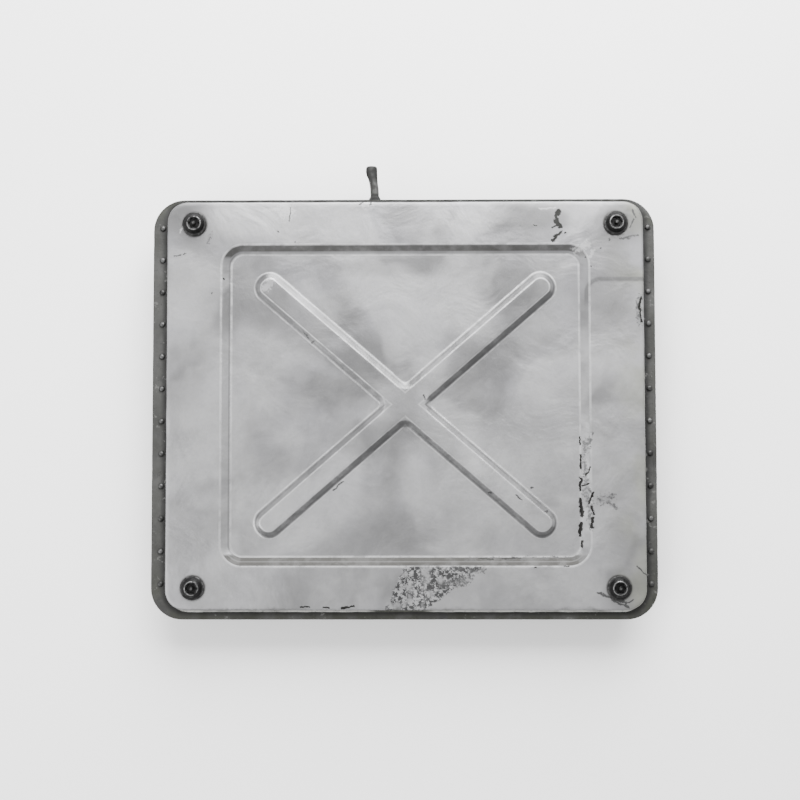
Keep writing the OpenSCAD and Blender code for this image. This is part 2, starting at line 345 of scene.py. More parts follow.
def deliver(piece, material, slot, body, *nodes, sharp=35):
    """Gives a finished piece its material, and hands it to the frame."""
    only(piece)
    bpy.ops.object.shade_smooth_by_angle(angle=math.radians(sharp))
    piece.data.materials.clear()
    piece.data.materials.append(material)
    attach(piece, body)
    if nodes:
        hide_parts(*nodes)


# ---------------------------------------------------------------- materials


class Weave:
    """Adds and joins the nodes of one material or node group."""

    def __init__(self, tree):
        self.tree = tree

    def add(self, kind, sockets=None, **settings):
        node = self.tree.nodes.new(kind)
        for name, value in settings.items():
            setattr(node, name, value)
        for key, value in (sockets or {}).items():
            self.feed(value, node.inputs[key])
        return node

    def feed(self, value, socket):
        if isinstance(value, bpy.types.NodeSocket):
            self.tree.links.new(value, socket)
        else:
            socket.default_value = value

    def math(self, operation, a, b=0.0, c=0.0, clamp=False):
        node = self.add("ShaderNodeMath", {0: a, 1: b, 2: c}, operation=operation, use_clamp=clamp)
        return node.outputs[0]

    def vector(self, operation, a, b=(0, 0, 0)):
        node = self.add("ShaderNodeVectorMath", {0: a, 1: b}, operation=operation)
        return node.outputs["Value" if operation in ("LENGTH", "DOT_PRODUCT") else "Vector"]

    def split(self, vector):
        return self.add("ShaderNodeSeparateXYZ", {0: vector}).outputs

    def noise(self, place, scale, detail=3.0, rough=0.5, distort=0.0, colour=False):
        node = self.add("ShaderNodeTexNoise", {"Vector": place, "Scale": scale, "Detail": detail,
                                               "Roughness": rough, "Distortion": distort})
        return node.outputs["Color" if colour else "Fac"]

    def between(self, value, low, high, start=0.0, end=1.0):
        """The value stretched smoothly from low..high to start..end."""
        node = self.add("ShaderNodeMapRange", {"Value": value, "From Min": low, "From Max": high,
                                               "To Min": start, "To Max": end},
                        interpolation_type="SMOOTHSTEP")
        return node.outputs["Result"]

    def mix(self, share, a, b, kind="MIX"):
        node = self.add("ShaderNodeMix", {"Factor": share}, data_type="RGBA", blend_type=kind)
        for value, socket in ((a, node.inputs[6]), (b, node.inputs[7])):
            if isinstance(value, (tuple, list)) or hasattr(value, "hsv"):
                value = (*value, 1.0)
            self.feed(value, socket)
        return node.outputs[2]

    def group(self, tree, **sockets):
        node = self.add("ShaderNodeGroup", node_tree=tree)
        for name, value in sockets.items():
            self.feed(value, node.inputs[name.replace("_", " ")])
        return node.outputs[0]

    def place(self):
        return self.add("ShaderNodeTexCoord").outputs["Object"]

    def upward(self):
        """How far the surface faces up, from 0 to 1."""
        normal = self.add("ShaderNodeNewGeometry").outputs["Normal"]
        return self.between(self.split(normal)[2], 0.0, 0.35)


def node_group(name, inputs, output, build, kind="NodeSocketFloat"):
    """A shader node group with named inputs and one output."""
    tree = bpy.data.node_groups.get(name)
    if tree is None:
        tree = bpy.data.node_groups.new(name, "ShaderNodeTree")
        for label, socket_type, default in inputs:
            socket = tree.interface.new_socket(label, in_out="INPUT", socket_type=socket_type)
            socket.default_value = default
        tree.interface.new_socket(output, in_out="OUTPUT", socket_type=kind)
        weave = Weave(tree)
        given = weave.add("NodeGroupInput").outputs
        result = build(weave, given)
        weave.feed(result, weave.add("NodeGroupOutput").inputs[0])
    return tree


def outline_distance():
    """Distance to a rounded rectangle's outline, below zero inside it."""

    def build(w, given):
        place, half_width, half_depth, radius = given[:4]
        x, y, _ = w.split(place)
        out_x = w.math("ADD", w.math("SUBTRACT", w.math("ABSOLUTE", x), half_width), radius)
        out_y = w.math("ADD", w.math("SUBTRACT", w.math("ABSOLUTE", y), half_depth), radius)
        away = w.math("SQRT", w.math("ADD",
                                     w.math("POWER", w.math("MAXIMUM", out_x, 0.0), 2.0),
                                     w.math("POWER", w.math("MAXIMUM", out_y, 0.0), 2.0)))
        inside = w.math("MINIMUM", w.math("MAXIMUM", out_x, out_y), 0.0)
        return w.math("SUBTRACT", w.math("ADD", away, inside), radius)

    return node_group("outline distance", (
        ("Place", "NodeSocketVector", (0, 0, 0)), ("Half width", "NodeSocketFloat", 0.1),
        ("Half depth", "NodeSocketFloat", 0.1), ("Radius", "NodeSocketFloat", 0.01),
    ), "Distance", build)


def arm_distance():
    """Distance to the centre lines of a cross whose arms reach to (Reach X, Reach Y)."""

    def build(w, given):
        place, reach_x, reach_y = given[:3]
        x, y, _ = w.split(place)
        point = w.add("ShaderNodeCombineXYZ", {0: w.math("ABSOLUTE", x),
                                               1: w.math("ABSOLUTE", y)}).outputs[0]
        reach = w.add("ShaderNodeCombineXYZ", {0: reach_x, 1: reach_y}).outputs[0]
        along = w.math("DIVIDE", w.vector("DOT_PRODUCT", point, reach),
                       w.vector("DOT_PRODUCT", reach, reach), clamp=True)
        spot = w.add("ShaderNodeVectorMath", {0: reach, "Scale": along}, operation="SCALE")
        return w.vector("LENGTH", w.vector("SUBTRACT", point, spot.outputs["Vector"]))

    return node_group("arm distance", (
        ("Place", "NodeSocketVector", (0, 0, 0)), ("Reach X", "NodeSocketFloat", 0.1),
        ("Reach Y", "NodeSocketFloat", 0.1),
    ), "Distance", build)


def line_on():
    """A soft line where a distance equals a given value."""

    def build(w, given):
        distance, centre, width = given[:3]
        off = w.math("ABSOLUTE", w.math("SUBTRACT", distance, centre))
        return w.between(w.math("DIVIDE", off, width), 0.35, 1.0, 1.0, 0.0)

    return node_group("line on", (
        ("Distance", "NodeSocketFloat", 0.0), ("Centre", "NodeSocketFloat", 0.0),
        ("Width", "NodeSocketFloat", 0.001),
    ), "Mask", build)


def breakup():
    """A patchy mask: clouds cut at a level, with ragged edges."""

    def build(w, given):
        place, scale, cover, soft = given[:4]
        clouds = w.noise(place, scale, 6.0, 0.62)
        low = w.math("SUBTRACT", 1.0, cover)
        return w.between(clouds, w.math("SUBTRACT", low, soft), w.math("ADD", low, soft))

    return node_group("breakup", (
        ("Place", "NodeSocketVector", (0, 0, 0)), ("Scale", "NodeSocketFloat", 50.0),
        ("Cover", "NodeSocketFloat", 0.5), ("Soft", "NodeSocketFloat", 0.05),
    ), "Mask", build)


def finish_of(name, colour, rough, metal, height=None, bump=0.3, reach=0.4 * MM, **constants):
    """A material whose shader takes its colour, roughness, metal and bump from the nodes given."""
    material = bpy.data.materials.new(name)
    material.use_nodes = True
    material.node_tree.nodes.clear()
    w = Weave(material.node_tree)
    shader = w.add("ShaderNodeBsdfPrincipled")
    for key, value in constants.items():
        shader.inputs[key.replace("_", " ")].default_value = value
    w.feed(colour(w), shader.inputs["Base Color"])
    w.feed(rough(w), shader.inputs["Roughness"])
    w.feed(metal(w) if callable(metal) else metal, shader.inputs["Metallic"])
    if height:
        node = w.add("ShaderNodeBump", {"Strength": bump, "Distance": reach, "Height": height(w)})
        w.feed(node.outputs["Normal"], shader.inputs["Normal"])
    output = w.add("ShaderNodeOutputMaterial")
    w.feed(shader.outputs[0], output.inputs["Surface"])
    return material


def stroke():
    """Adds one ragged stroke or spot to a trail, whose X and Y are a place and whose Z is what is marked."""

    def build(w, given):
        trail, centre, turn, reach, width, ragged = given[:6]
        place_x, place_y, marked = w.split(trail)
        x, y, _ = w.split(w.vector("SUBTRACT", trail, centre))
        cosine, sine = w.math("COSINE", turn), w.math("SINE", turn)
        along = w.math("ADD", w.math("MULTIPLY", x, cosine), w.math("MULTIPLY", y, sine))
        across = w.math("SUBTRACT", w.math("MULTIPLY", y, cosine), w.math("MULTIPLY", x, sine))
        beyond = w.math("MAXIMUM", w.math("SUBTRACT", w.math("ABSOLUTE", along), reach), 0.0)
        away = w.math("SQRT", w.math("ADD", w.math("POWER", beyond, 2.0),
                                     w.math("POWER", across, 2.0)))
        share = w.math("ADD", w.math("DIVIDE", away, width), ragged)
        mask = w.between(share, 0.75, 1.1, 1.0, 0.0)
        return w.add("ShaderNodeCombineXYZ", {0: place_x, 1: place_y,
                                              2: w.math("MAXIMUM", marked, mask)}).outputs[0]

    return node_group("stroke", (
        ("Trail", "NodeSocketVector", (0, 0, 0)), ("Centre", "NodeSocketVector", (0, 0, 0)),
        ("Turn", "NodeSocketFloat", 0.0), ("Reach", "NodeSocketFloat", 0.005),
        ("Width", "NodeSocketFloat", 0.001), ("Ragged", "NodeSocketFloat", 0.0),
    ), "Trail", build, "NodeSocketVector")


def pool():
    """Adds one wide soft oval, such as a stain or a rubbed area, to a trail."""

    def build(w, given):
        trail, centre, size = given[:3]
        place_x, place_y, marked = w.split(trail)
        off = w.vector("DIVIDE", w.vector("SUBTRACT", trail, centre), size)
        x, y, _ = w.split(off)
        flat = w.add("ShaderNodeCombineXYZ", {0: x, 1: y}).outputs[0]
        mask = w.between(w.vector("LENGTH", flat), 0.35, 1.1, 1.0, 0.0)
        return w.add("ShaderNodeCombineXYZ", {0: place_x, 1: place_y,
                                              2: w.math("MAXIMUM", marked, mask)}).outputs[0]

    return node_group("pool", (
        ("Trail", "NodeSocketVector", (0, 0, 0)), ("Centre", "NodeSocketVector", (0, 0, 0)),
        ("Size", "NodeSocketVector", (0.1, 0.1, 1.0)),
    ), "Trail", build, "NodeSocketVector")


def speckle():
    """Fine grains at two scales: dark specks and pits."""

    def build(w, given):
        place, scale, cover = given[:3]
        fine = w.noise(place, scale, 4.0, 0.7)
        coarse = w.noise(place, w.math("MULTIPLY", scale, 0.22), 3.0, 0.6)
        both = w.math("ADD", w.math("MULTIPLY", fine, 0.6), w.math("MULTIPLY", coarse, 0.4))
        low = w.math("SUBTRACT", 0.78, w.math("MULTIPLY", cover, 0.5))
        return w.between(both, low, w.math("ADD", low, 0.05))

    return node_group("speckle", (
        ("Place", "NodeSocketVector", (0, 0, 0)), ("Scale", "NodeSocketFloat", 600.0),
        ("Cover", "NodeSocketFloat", 0.3),
    ), "Mask", build)


def screw_distance():
    """Distance in plan to the nearest screw's middle."""

    def build(w, given):
        x, y, _ = w.split(given[0])
        spot = w.add("ShaderNodeCombineXYZ", {0: w.math("ABSOLUTE", x), 1: w.math("ABSOLUTE", y)})
        away = w.vector("SUBTRACT", spot.outputs[0], given[1])
        return w.vector("LENGTH", away)

    return node_group("screw distance", (
        ("Place", "NodeSocketVector", (0, 0, 0)), ("Spot", "NodeSocketVector", (0, 0, 0)),
    ), "Distance", build)


# Marks on the cover, in millimetres: where the middle lies, half its length, half its width, its turn
CHIPS = (
    (160.5, 201, 1.5, 3.2, 60), (159, 196, 2.5, 1.7, -60), (160.5, 190.5, 3.5, 2.4, -48),
    (156.5, 187, 3, 1.1, 20),
    (160.5, 178, 4, 1.7, 28), (156, 173, 2.5, 1.7, 35), (163, 185.5, 2, 1.5, 10), (168.5, 179.7, 0.2, 0.9, 0),
    (137, 187.5, 1.5, 0.8, 5),
    (182.5, -84, 6, 1.5, 88), (183, -108, 8, 2.2, 94), (182, -130, 7, 1.7, 86), (183, -60, 7, 1.1, 86),
    (193, -97, 6, 1.2, 70), (195, -110, 4, 1.5, 110), (194, -123, 5, 1.7, 80), (188, -84, 3.5, 1.1, 20),
    (182, -38, 4, 0.9, 88), (190, -70, 5, 0.9, 60), (183, -146, 3, 1.2, 80),
    (246, 106, 6, 1.1, 84), (246.5, 92, 6, 1.1, 94), (-60, -210, 6, 1.3, 4), (-82, -210.5, 3, 0.9, -6),
    (-104, -210, 5, 0.8, 3), (134, -169, 0.6, 1.1, 0), (166.5, -168, 3, 0.7, 5), (110, -160, 9, 0.8, 1),
    (84, -160.5, 7, 0.9, -2), (205, 164, 0.3, 0.8, 0), (189, 154, 0.3, 0.8, 0), (194.6, 145, 0.2, 0.8, 0),
    (-133, 182, 0.2, 0.8, 0), (-116, 170, 0.2, 0.7, 0), (-190, 132, 0.2, 0.9, 0), (-202, 118, 0.2, 0.8, 0),
)
SCRATCHES = (
    (213.3, -200.2, 16, 1.3, -19.4), (222, -206.4, 9, 1.3, -24), (231, -205, 5, 1.0, 35),
    (243, -171, 4.6, 0.7, -46), (248, -176, 5, 0.7, -46), (-238.5, 156.5, 3.5, 0.7, 5),
    (-231, 158.5, 2, 0.7, 25), (-45.5, 212, 3, 0.8, 30), (-70, -85, 6.5, 0.9, 40),
    (238, 190, 4.5, 0.9, 62), (240, 200, 5, 0.9, 118), (229, 174, 4, 1.0, 10), (214, 173, 0.8, 1.0, 60),
    (-104, 74, 4, 0.9, -48), (-96, 66, 1.5, 0.8, 40), (20, 8, 2.5, 0.8, -80), (88, -92, 1.2, 1.0, 0),
    (132, -86, 1, 0.9, 0), (146, -112, 1.5, 1.3, 0), (118, -97, 4, 0.7, -42), (-121, 200, 7, 0.6, 84),
    (-36, 213, 3, 0.8, 80),
)
SMEARS = (
    (66, -171.5, 15, 2.6, -3), (52, -184.5, 14, 4.5, 14), (206, -99, 7, 4, 20), (212, -103, 7, 2.2, -40),
    (187, -60, 20, 1.6, 92), (188, -86, 8, 3.4, 100), (192, -113, 14, 2.6, 95), (-205, 176, 6, 1.0, 80),
    (120, -160, 60, 1.4, 0.5), (190, -40, 10, 2.2, 70), (245, 98, 14, 2.6, 90), (238, 176, 5, 1.2, 20),
)
BRIGHT_RUBS = (
    (185, 165, 7, 3.5, 25), (78, -66, 9, 5, -42), (-143, 126, 5, 3.6, 48), (-234, 186, 5, 1.1, 62),
    (-125, 205, 0.6, 8, 0), (-40, 211, 4, 3, 10), (224, 178, 5, 1.1, 15), (196, 158, 3, 2, 60),
    (-140, 205, 8, 1.6, 5), (150, 206, 9, 1.0, 2),
)
# Wide patches on the cover, partly weathered tone and partly painted shade and painted highlight for the
# sheet's cloudy reflections, in millimetres: where the middle lies, its size across and deep
DARK_TONE_AND_SHADE = (
    (-228, 196, 34, 34), (-190, 105, 34, 45), (-74, 88, 40, 30), (-35, 48, 45, 35), (113, 122, 50, 30),
    (5, -140, 60, 45), (20, -192, 80, 25), (230, -194, 36, 36), (230, -120, 34, 60), (-226, 16, 26, 40),
    (200, 14, 50, 20), (228, 192, 34, 34), (125, 192, 60, 22), (10, 150, 110, 16),
)
PALE_TONE_AND_SHEEN = (
    (-172, 194, 55, 24), (-150, 40, 28, 75), (-172, -120, 62, 85), (-195, -60, 50, 45), (50, -32, 42, 32),
    (90, -58, 52, 36), (135, -108, 48, 36), (200, 52, 42, 24), (150, -190, 32, 20), (60, 195, 60, 16),
)


def galvanised_sheet(s):
    """Weathered zinc: clouds, stains, bends painted bright as highlight and partly rubbed, painted shade and
    dirt in the pressed corners, wide patches of painted shade and highlight, chips and scratches.
    """
    zinc = Vector(s.zinc)
    # Dirt at the front, and painted shade on the rear slope, round the washers and under the hem.
    dirt = tuple(s.grime_and_shade)
    panel = {"Half_width": s.panel_width / 2, "Half_depth": s.panel_depth / 2, "Radius": s.panel_corner}

    def most(w, masks):
        total = 0.0
        for mask in masks:
            total = w.math("MAXIMUM", mask, total)
        return total

    def strokes(w, place, marks, ragged):
        trail = w.vector("MULTIPLY", place, (1, 1, 0))
        for x, y, reach, width, turn in marks:
            trail = w.group(stroke(), Trail=trail, Centre=(x * MM, y * MM, 0.0), Turn=math.radians(turn),
                            Reach=reach * MM, Width=width * MM, Ragged=ragged)
        return w.split(trail)[2]

    def pools(w, place, spots):
        trail = w.vector("MULTIPLY", place, (1, 1, 0))
        for x, y, across, deep in spots:
            trail = w.group(pool(), Trail=trail, Centre=(x * MM, y * MM, 0.0),
                            Size=(across * MM, deep * MM, 1.0))
        return w.split(trail)[2]

    def flank(w, place):
        """How much of a place lies on the slope round the panel."""
        away = w.group(outline_distance(), Place=place, **panel)
        return w.math("MULTIPLY", w.between(away, -10 * MM, -7.6 * MM),
                      w.between(away, -0.4 * MM, 1.4 * MM, 1, 0))

    def front_slope(w, place):
        """How much of a place lies on the front slope, where dirt has settled."""
        return w.math("MULTIPLY", flank(w, place),
                      w.between(w.split(place)[1], -158 * MM, -154 * MM, 1.0, 0.0))

    def colour(w):
        place = w.place()
        x, y, z = w.split(place)
        ragged = w.math("MULTIPLY", w.math("SUBTRACT", w.noise(place, 380.0, 5.0, 0.75), 0.5), 6.0)
        shake = w.vector("SUBTRACT", w.noise(place, 110.0, 5.0, 0.7, colour=True), (0.5, 0.5, 0.5))
        crooked = w.vector("ADD", place, w.vector("MULTIPLY", shake, (7 * MM, 7 * MM, 0.0)))
        drift = w.vector("SUBTRACT", w.noise(place, 10.0, 1.5, 0.5, colour=True), (0.5, 0.5, 0.5))
        wander = w.vector("ADD", place, w.vector("MULTIPLY", drift, (34 * MM, 34 * MM, 0.0)))
        torn = w.vector("ADD", place, w.vector("MULTIPLY", shake, (17 * MM, 12 * MM, 0.0)))
        clouds = w.noise(place, 8.0, 2.0, 0.5, 0.3)
        patches = w.noise(wander, 20.0, 2.0, 0.5)
        grain = w.noise(place, 260.0, 4.0, 0.65)
        base = w.mix(w.between(clouds, 0.28, 0.72), tuple(0.8 * zinc), tuple(1.16 * zinc))
        base = w.mix(w.between(patches, 0.35, 0.75, 0.0, 0.5), base,
                     (1.1 * zinc.x, 1.1 * zinc.y, 1.17 * zinc.z))
        # Wide patches of painted shade and painted highlight for the sheet's reflections, over its weathered
        # tone.
        base = w.mix(w.math("MULTIPLY", pools(w, wander, DARK_TONE_AND_SHADE), 0.9), base, tuple(0.54 * zinc))
        base = w.mix(w.math("MULTIPLY", pools(w, wander, PALE_TONE_AND_SHEEN), 0.8), base, tuple(1.34 * zinc))
        tides = w.noise(wander, 13.0, 2.5, 0.5)
        base = w.mix(w.between(tides, 0.5, 0.58, 0.0, 0.5), base, tuple(1.36 * zinc))
        base = w.mix(w.between(tides, 0.36, 0.46, 0.55, 0.0), base, tuple(0.58 * zinc))
        base = w.mix(w.between(grain, 0.35, 0.75, 0.0, 0.16), base, tuple(0.6 * zinc))
        # Painted light: the sheet paler towards the front.
        base = w.mix(w.between(y, COVER_LOW.y, COVER_HIGH.y, 0.3, 0.0), base, tuple(1.3 * zinc))
        # Greenish film at the right-hand corners
        film = w.math("MULTIPLY", w.between(x, 205 * MM, 246 * MM),
                      w.between(w.noise(place, 18.0, 3.0), 0.42, 0.62))
        base = w.mix(w.math("MULTIPLY", film, 0.45), base, (0.9 * zinc.x, 0.93 * zinc.y, 0.7 * zinc.z))
        # An old water line on the right, pale inside
        pond = w.vector("ADD", place, (-246 * MM, -85 * MM, 0.0))
        shore = w.group(outline_distance(), Place=pond, Half_width=56 * MM, Half_depth=46 * MM,
                        Radius=14 * MM)
        reach = w.between(y, 98 * MM, 112 * MM)
        line = w.math("MULTIPLY", w.group(line_on(), Distance=shore, Centre=0.0, Width=3.2 * MM), reach)
        inside = w.math("MULTIPLY", w.between(shore, -5 * MM, 0.0, 1.0, 0.0), reach)
        base = w.mix(w.math("MULTIPLY", inside, 0.3), base, tuple(1.25 * zinc))
        base = w.mix(w.math("MULTIPLY", line, 0.75), base, tuple(0.42 * zinc))
        # Bends painted bright, as highlight and partly rubbed wear; painted shade on the rear slope, at the
        # foot of the left slope and on the cross's slopes; dirt on the front slope; the right slope darker in
        # patches
        away = w.group(outline_distance(), Place=place, **panel)
        # Painted shade on the upper part of the rear slope.
        upper = w.math("MULTIPLY", w.between(away, -6.8 * MM, -5.4 * MM),
                       w.between(away, -0.6 * MM, 1.2 * MM, 1, 0))
        rear = w.math("MULTIPLY", upper, w.between(y, 153 * MM, 157 * MM))
        front = front_slope(w, place)
        patchy = w.between(w.noise(place, 60.0, 4.0, 0.6), 0.3, 0.6, 0.7, 1.0)
        base = w.mix(w.math("MULTIPLY", rear, w.math("MULTIPLY", patchy, s.rear_slope_shade)), base, dirt)
        base = w.mix(w.math("MULTIPLY", front, w.between(patchy, 0.7, 1.0, 0.86, 1.0)), base, dirt)
        seam = w.math("MULTIPLY", w.group(line_on(), Distance=away, Centre=-4.2 * MM, Width=0.9 * MM), front)
        base = w.mix(w.math("MULTIPLY", seam, 0.2), base, tuple(1.1 * zinc))
        # The right slope darkened in patches.
        right = w.math("MULTIPLY", flank(w, place), w.between(x, 178 * MM, 181 * MM))
        base = w.mix(w.math("MULTIPLY", right, w.between(w.noise(place, 38.0, 4.0), 0.4, 0.62, 0.15, 0.6)),
                     base,
                     tuple(0.45 * zinc))
        # Painted shade in the crease at the foot of the left slope.
        left_foot_shade = w.math("MULTIPLY", w.group(line_on(), Distance=away, Centre=-7.4 * MM, Width=1.1 * MM),
                      w.between(x, -180 * MM, -176 * MM, 1.0, 0.0))
        base = w.mix(w.math("MULTIPLY", left_foot_shade, 0.5), base, tuple(0.4 * zinc))
        # Painted highlight, partly rubbed wear, along the bends of the panel and the arms.
        bend_sheen_and_wear = w.between(w.noise(place, 90.0, 4.0, 0.6), 0.34, 0.55, 0.35, 1.0)
        arms = w.group(arm_distance(), Place=place, Reach_X=s.reach_x, Reach_Y=s.reach_y)
        bends = most(w, (
            w.group(line_on(), Distance=away, Centre=0.9 * MM, Width=1.6 * MM),
            w.group(line_on(), Distance=away, Centre=-s.panel_flank - 1.0 * MM, Width=1.5 * MM),
            w.group(line_on(), Distance=arms, Centre=s.arm_flat / 2 - 0.2 * MM, Width=1.1 * MM),
            w.group(line_on(), Distance=arms, Centre=s.arm_flat / 2 + s.arm_flank + 0.9 * MM,
                    Width=1.1 * MM)))
        base = w.mix(w.math("MULTIPLY", w.math("MULTIPLY", bends, bend_sheen_and_wear), s.bend_highlight_and_wear), base,
                     tuple(1.75 * zinc))
        foot = w.group(line_on(), Distance=arms, Centre=s.arm_flat / 2 + s.arm_flank - 1.6 * MM,
                       Width=1.2 * MM)
        # Painted shade on the cross's slopes, by the way they face: the rear-facing and the front-facing ones
        # darkened.
        facing = w.split(w.add("ShaderNodeNewGeometry").outputs["Normal"])[1]
        faces_front = w.between(facing, -0.32, -0.12, 1.0, 0.0)
        on_cross = w.between(arms, 17 * MM, 18 * MM, 1.0, 0.0)
        faces_rear = w.between(facing, 0.12, 0.32)
        base = w.mix(w.math("MULTIPLY", w.math("MULTIPLY", faces_rear, on_cross), 0.62), base,
                     tuple(0.42 * zinc))
        slope = w.math("MULTIPLY", faces_front, on_cross)
        base = w.mix(w.math("MULTIPLY", slope,
                            w.between(w.noise(place, 50.0, 4.0, 0.6), 0.3, 0.6, 0.4, 0.85)), base,
                     tuple(0.35 * zinc))
        # Painted shade, with some settled dirt, at the foot of the arms' slopes, in patches.
        settled = w.math("MULTIPLY", foot, w.between(w.noise(place, 45.0, 4.0, 0.6), 0.36, 0.6, 0.1, 0.6))
        base = w.mix(settled, base, tuple(0.32 * zinc))
        # Dirt that creeps in from the front edge
        edge = w.math("ADD", y, w.math("MULTIPLY", w.noise(place, 70.0, 5.0, 0.7), 22 * MM))
        creep = w.math("MULTIPLY", w.between(edge, -206 * MM, -198 * MM, 1.0, 0.0),
                       w.between(w.noise(place, 16.0, 3.0), 0.48, 0.6))
        base = w.mix(w.math("MULTIPLY", creep, 0.6), base, dirt)
        # The peeled patch at the middle of the front
        left = w.math("ADD", w.math("MULTIPLY", w.math("ADD", y, 167 * MM), 0.37), -3 * MM)
        right = w.math("ADD", w.math("MULTIPLY", w.math("ADD", y, 168 * MM), 1.29), 80 * MM)
        torn_x = w.math("ADD", x,
                        w.math("MULTIPLY", w.math("SUBTRACT", w.noise(place, 120.0, 5.0, 0.7), 0.5), 22 * MM))
        peel = w.math("MULTIPLY", w.between(w.math("SUBTRACT", torn_x, left), 0.0, 2 * MM),
                      w.between(w.math("SUBTRACT", right, torn_x), 0.0, 2 * MM))
        peel = w.math("MULTIPLY", peel, w.between(y, -169 * MM, -166.5 * MM, 1.0, 0.0))
        flecks = w.noise(place, 300.0, 5.0, 0.7)
        mottle = w.mix(w.between(flecks, 0.49, 0.54), tuple(0.2 * zinc), tuple(1.25 * zinc))
        base = w.mix(w.math("MULTIPLY", peel, w.between(w.noise(place, 70.0, 3.0), 0.32, 0.5)), base, mottle)
        # Chips, scratches and rubs
        smears = w.math("MULTIPLY", strokes(w, torn, SMEARS, ragged),
                        w.between(w.noise(place, 210.0, 5.0, 0.7), 0.4, 0.56, 0.15, 0.85))
        base = w.mix(smears, base, tuple(0.24 * zinc))
        base = w.mix(w.math("MULTIPLY", strokes(w, crooked, BRIGHT_RUBS, ragged), 0.75), base,
                     tuple(1.5 * zinc))
        specks = w.math("MULTIPLY", w.group(speckle(), Place=place, Scale=520.0, Cover=0.16), 0.55)
        base = w.mix(specks, base, tuple(0.3 * zinc))
        base = w.mix(strokes(w, crooked, SCRATCHES, w.math("MULTIPLY", ragged, 0.6)), base,
                     tuple(0.25 * zinc))
        base = w.mix(strokes(w, crooked, CHIPS, w.math("MULTIPLY", ragged, 0.45)), base,
                     (0.012, 0.012, 0.011))
        # Painted shade on the sheet round the washers, and on the underside of the hem
        ring = w.between(w.group(screw_distance(), Place=place, Spot=screw_spot()), 12.4 * MM, 14.6 * MM, 1.0,
                         0.0)
        base = w.mix(w.math("MULTIPLY", ring, 0.75), base, dirt)
        # Painted shade on the lower half of the hem's round and under it.
        hem = w.math("MULTIPLY", w.between(away, 20 * MM, 22 * MM),
                     w.between(w.math("ADD", z, w.math("MULTIPLY", grain, 1 * MM)),
                               RIM_TOP - 2.6 * MM, RIM_TOP - 1 * MM, 1.0, 0.0))
        return w.mix(w.math("MULTIPLY", hem, 0.6), base, dirt)

    def roughness(w):
        place = w.place()
        rubbed = w.between(w.noise(place, 14.0, 5.0, 0.6), 0.3, 0.7, 0.3, 0.48)
        rough = w.math("ADD", rubbed, w.math("MULTIPLY", w.noise(place, 300.0, 3.0), 0.06))
        return w.math("ADD", rough, w.math("MULTIPLY", front_slope(w, place), 0.35))

    def metal(w):
        place = w.place()
        dirty = w.math("MULTIPLY", w.between(w.noise(place, 24.0, 5.0, 0.6), 0.4, 0.7), 0.25)
        settled = w.math("MULTIPLY", front_slope(w, place), 0.7)
        return w.math("SUBTRACT", w.math("SUBTRACT", 0.78, dirty), settled, clamp=True)

    def height(w):
        place = w.place()
        waves = w.noise(place, 17.0, 4.0, 0.5, 0.6)
        grain = w.math("MULTIPLY", w.noise(place, 420.0, 4.0, 0.7), 0.06)
        return w.math("ADD", waves, grain)

    return finish_of("galvanised_sheet", colour, roughness, metal, height, 0.6, 3 * MM)


def screw_spot():
    spot = SCREW_SPOTS["rear_right"]
    return (abs(spot.x), abs(spot.y), 0.0)


def frame_steel(s):
    """Dark frame steel, dirty, with painted shadow along the cover: dusty on top, mossy at the corners, bare
    at a few knocks.
    """
    steel = Vector(s.steel)
    moss = tuple(s.rust)

    def colour(w):
        place = w.place()
        y = w.split(place)[1]
        base = w.mix(w.between(w.noise(place, 30.0, 5.0, 0.6), 0.3, 0.7), tuple(0.65 * steel),
                     tuple(1.7 * steel))
        dust = w.math("MULTIPLY", w.upward(), w.between(w.noise(place, 70.0, 5.0, 0.65), 0.4, 0.7, 0.05, 0.5))
        base = w.mix(dust, base, tuple(2.0 * steel))
        green = w.math("MULTIPLY", w.between(w.noise(place, 40.0, 4.0, 0.6), 0.36, 0.6),
                       w.between(w.math("ABSOLUTE", y), 150 * MM, 215 * MM, 0.25, 0.85))
        base = w.mix(green, base, moss)
        # Painted shadow: the plate darkened along the cover's edge, where the cover overhangs it.
        beside = w.group(outline_distance(), Place=place, Half_width=COVER_HIGH.x, Half_depth=COVER_HIGH.y,
                         Radius=21.5 * MM)
        cover_shadow_reach = w.math("ADD", beside, w.math("MULTIPLY", w.noise(place, 60.0, 5.0, 0.65), 6 * MM))
        base = w.mix(w.between(cover_shadow_reach, 5.5 * MM, 11 * MM, 0.85, 0.0), base, tuple(0.25 * steel))
        pits = w.group(speckle(), Place=place, Scale=480.0, Cover=0.4)
        base = w.mix(w.math("MULTIPLY", pits, 0.6), base, tuple(0.3 * steel))
        knocks = w.group(breakup(), Place=place, Scale=150.0, Cover=0.36, Soft=0.03)
        return w.mix(w.math("MULTIPLY", knocks, 0.55), base, tuple(4.0 * steel))

    def roughness(w):
        return w.between(w.noise(w.place(), 60.0, 4.0), 0.3, 0.7, 0.55, 0.85)

    def height(w):
        return w.math("ADD", w.noise(w.place(), 240.0, 5.0, 0.65), w.noise(w.place(), 40.0, 3.0))

    return finish_of("frame_steel", colour, roughness, 0.35, height, 0.6, 0.7 * MM)


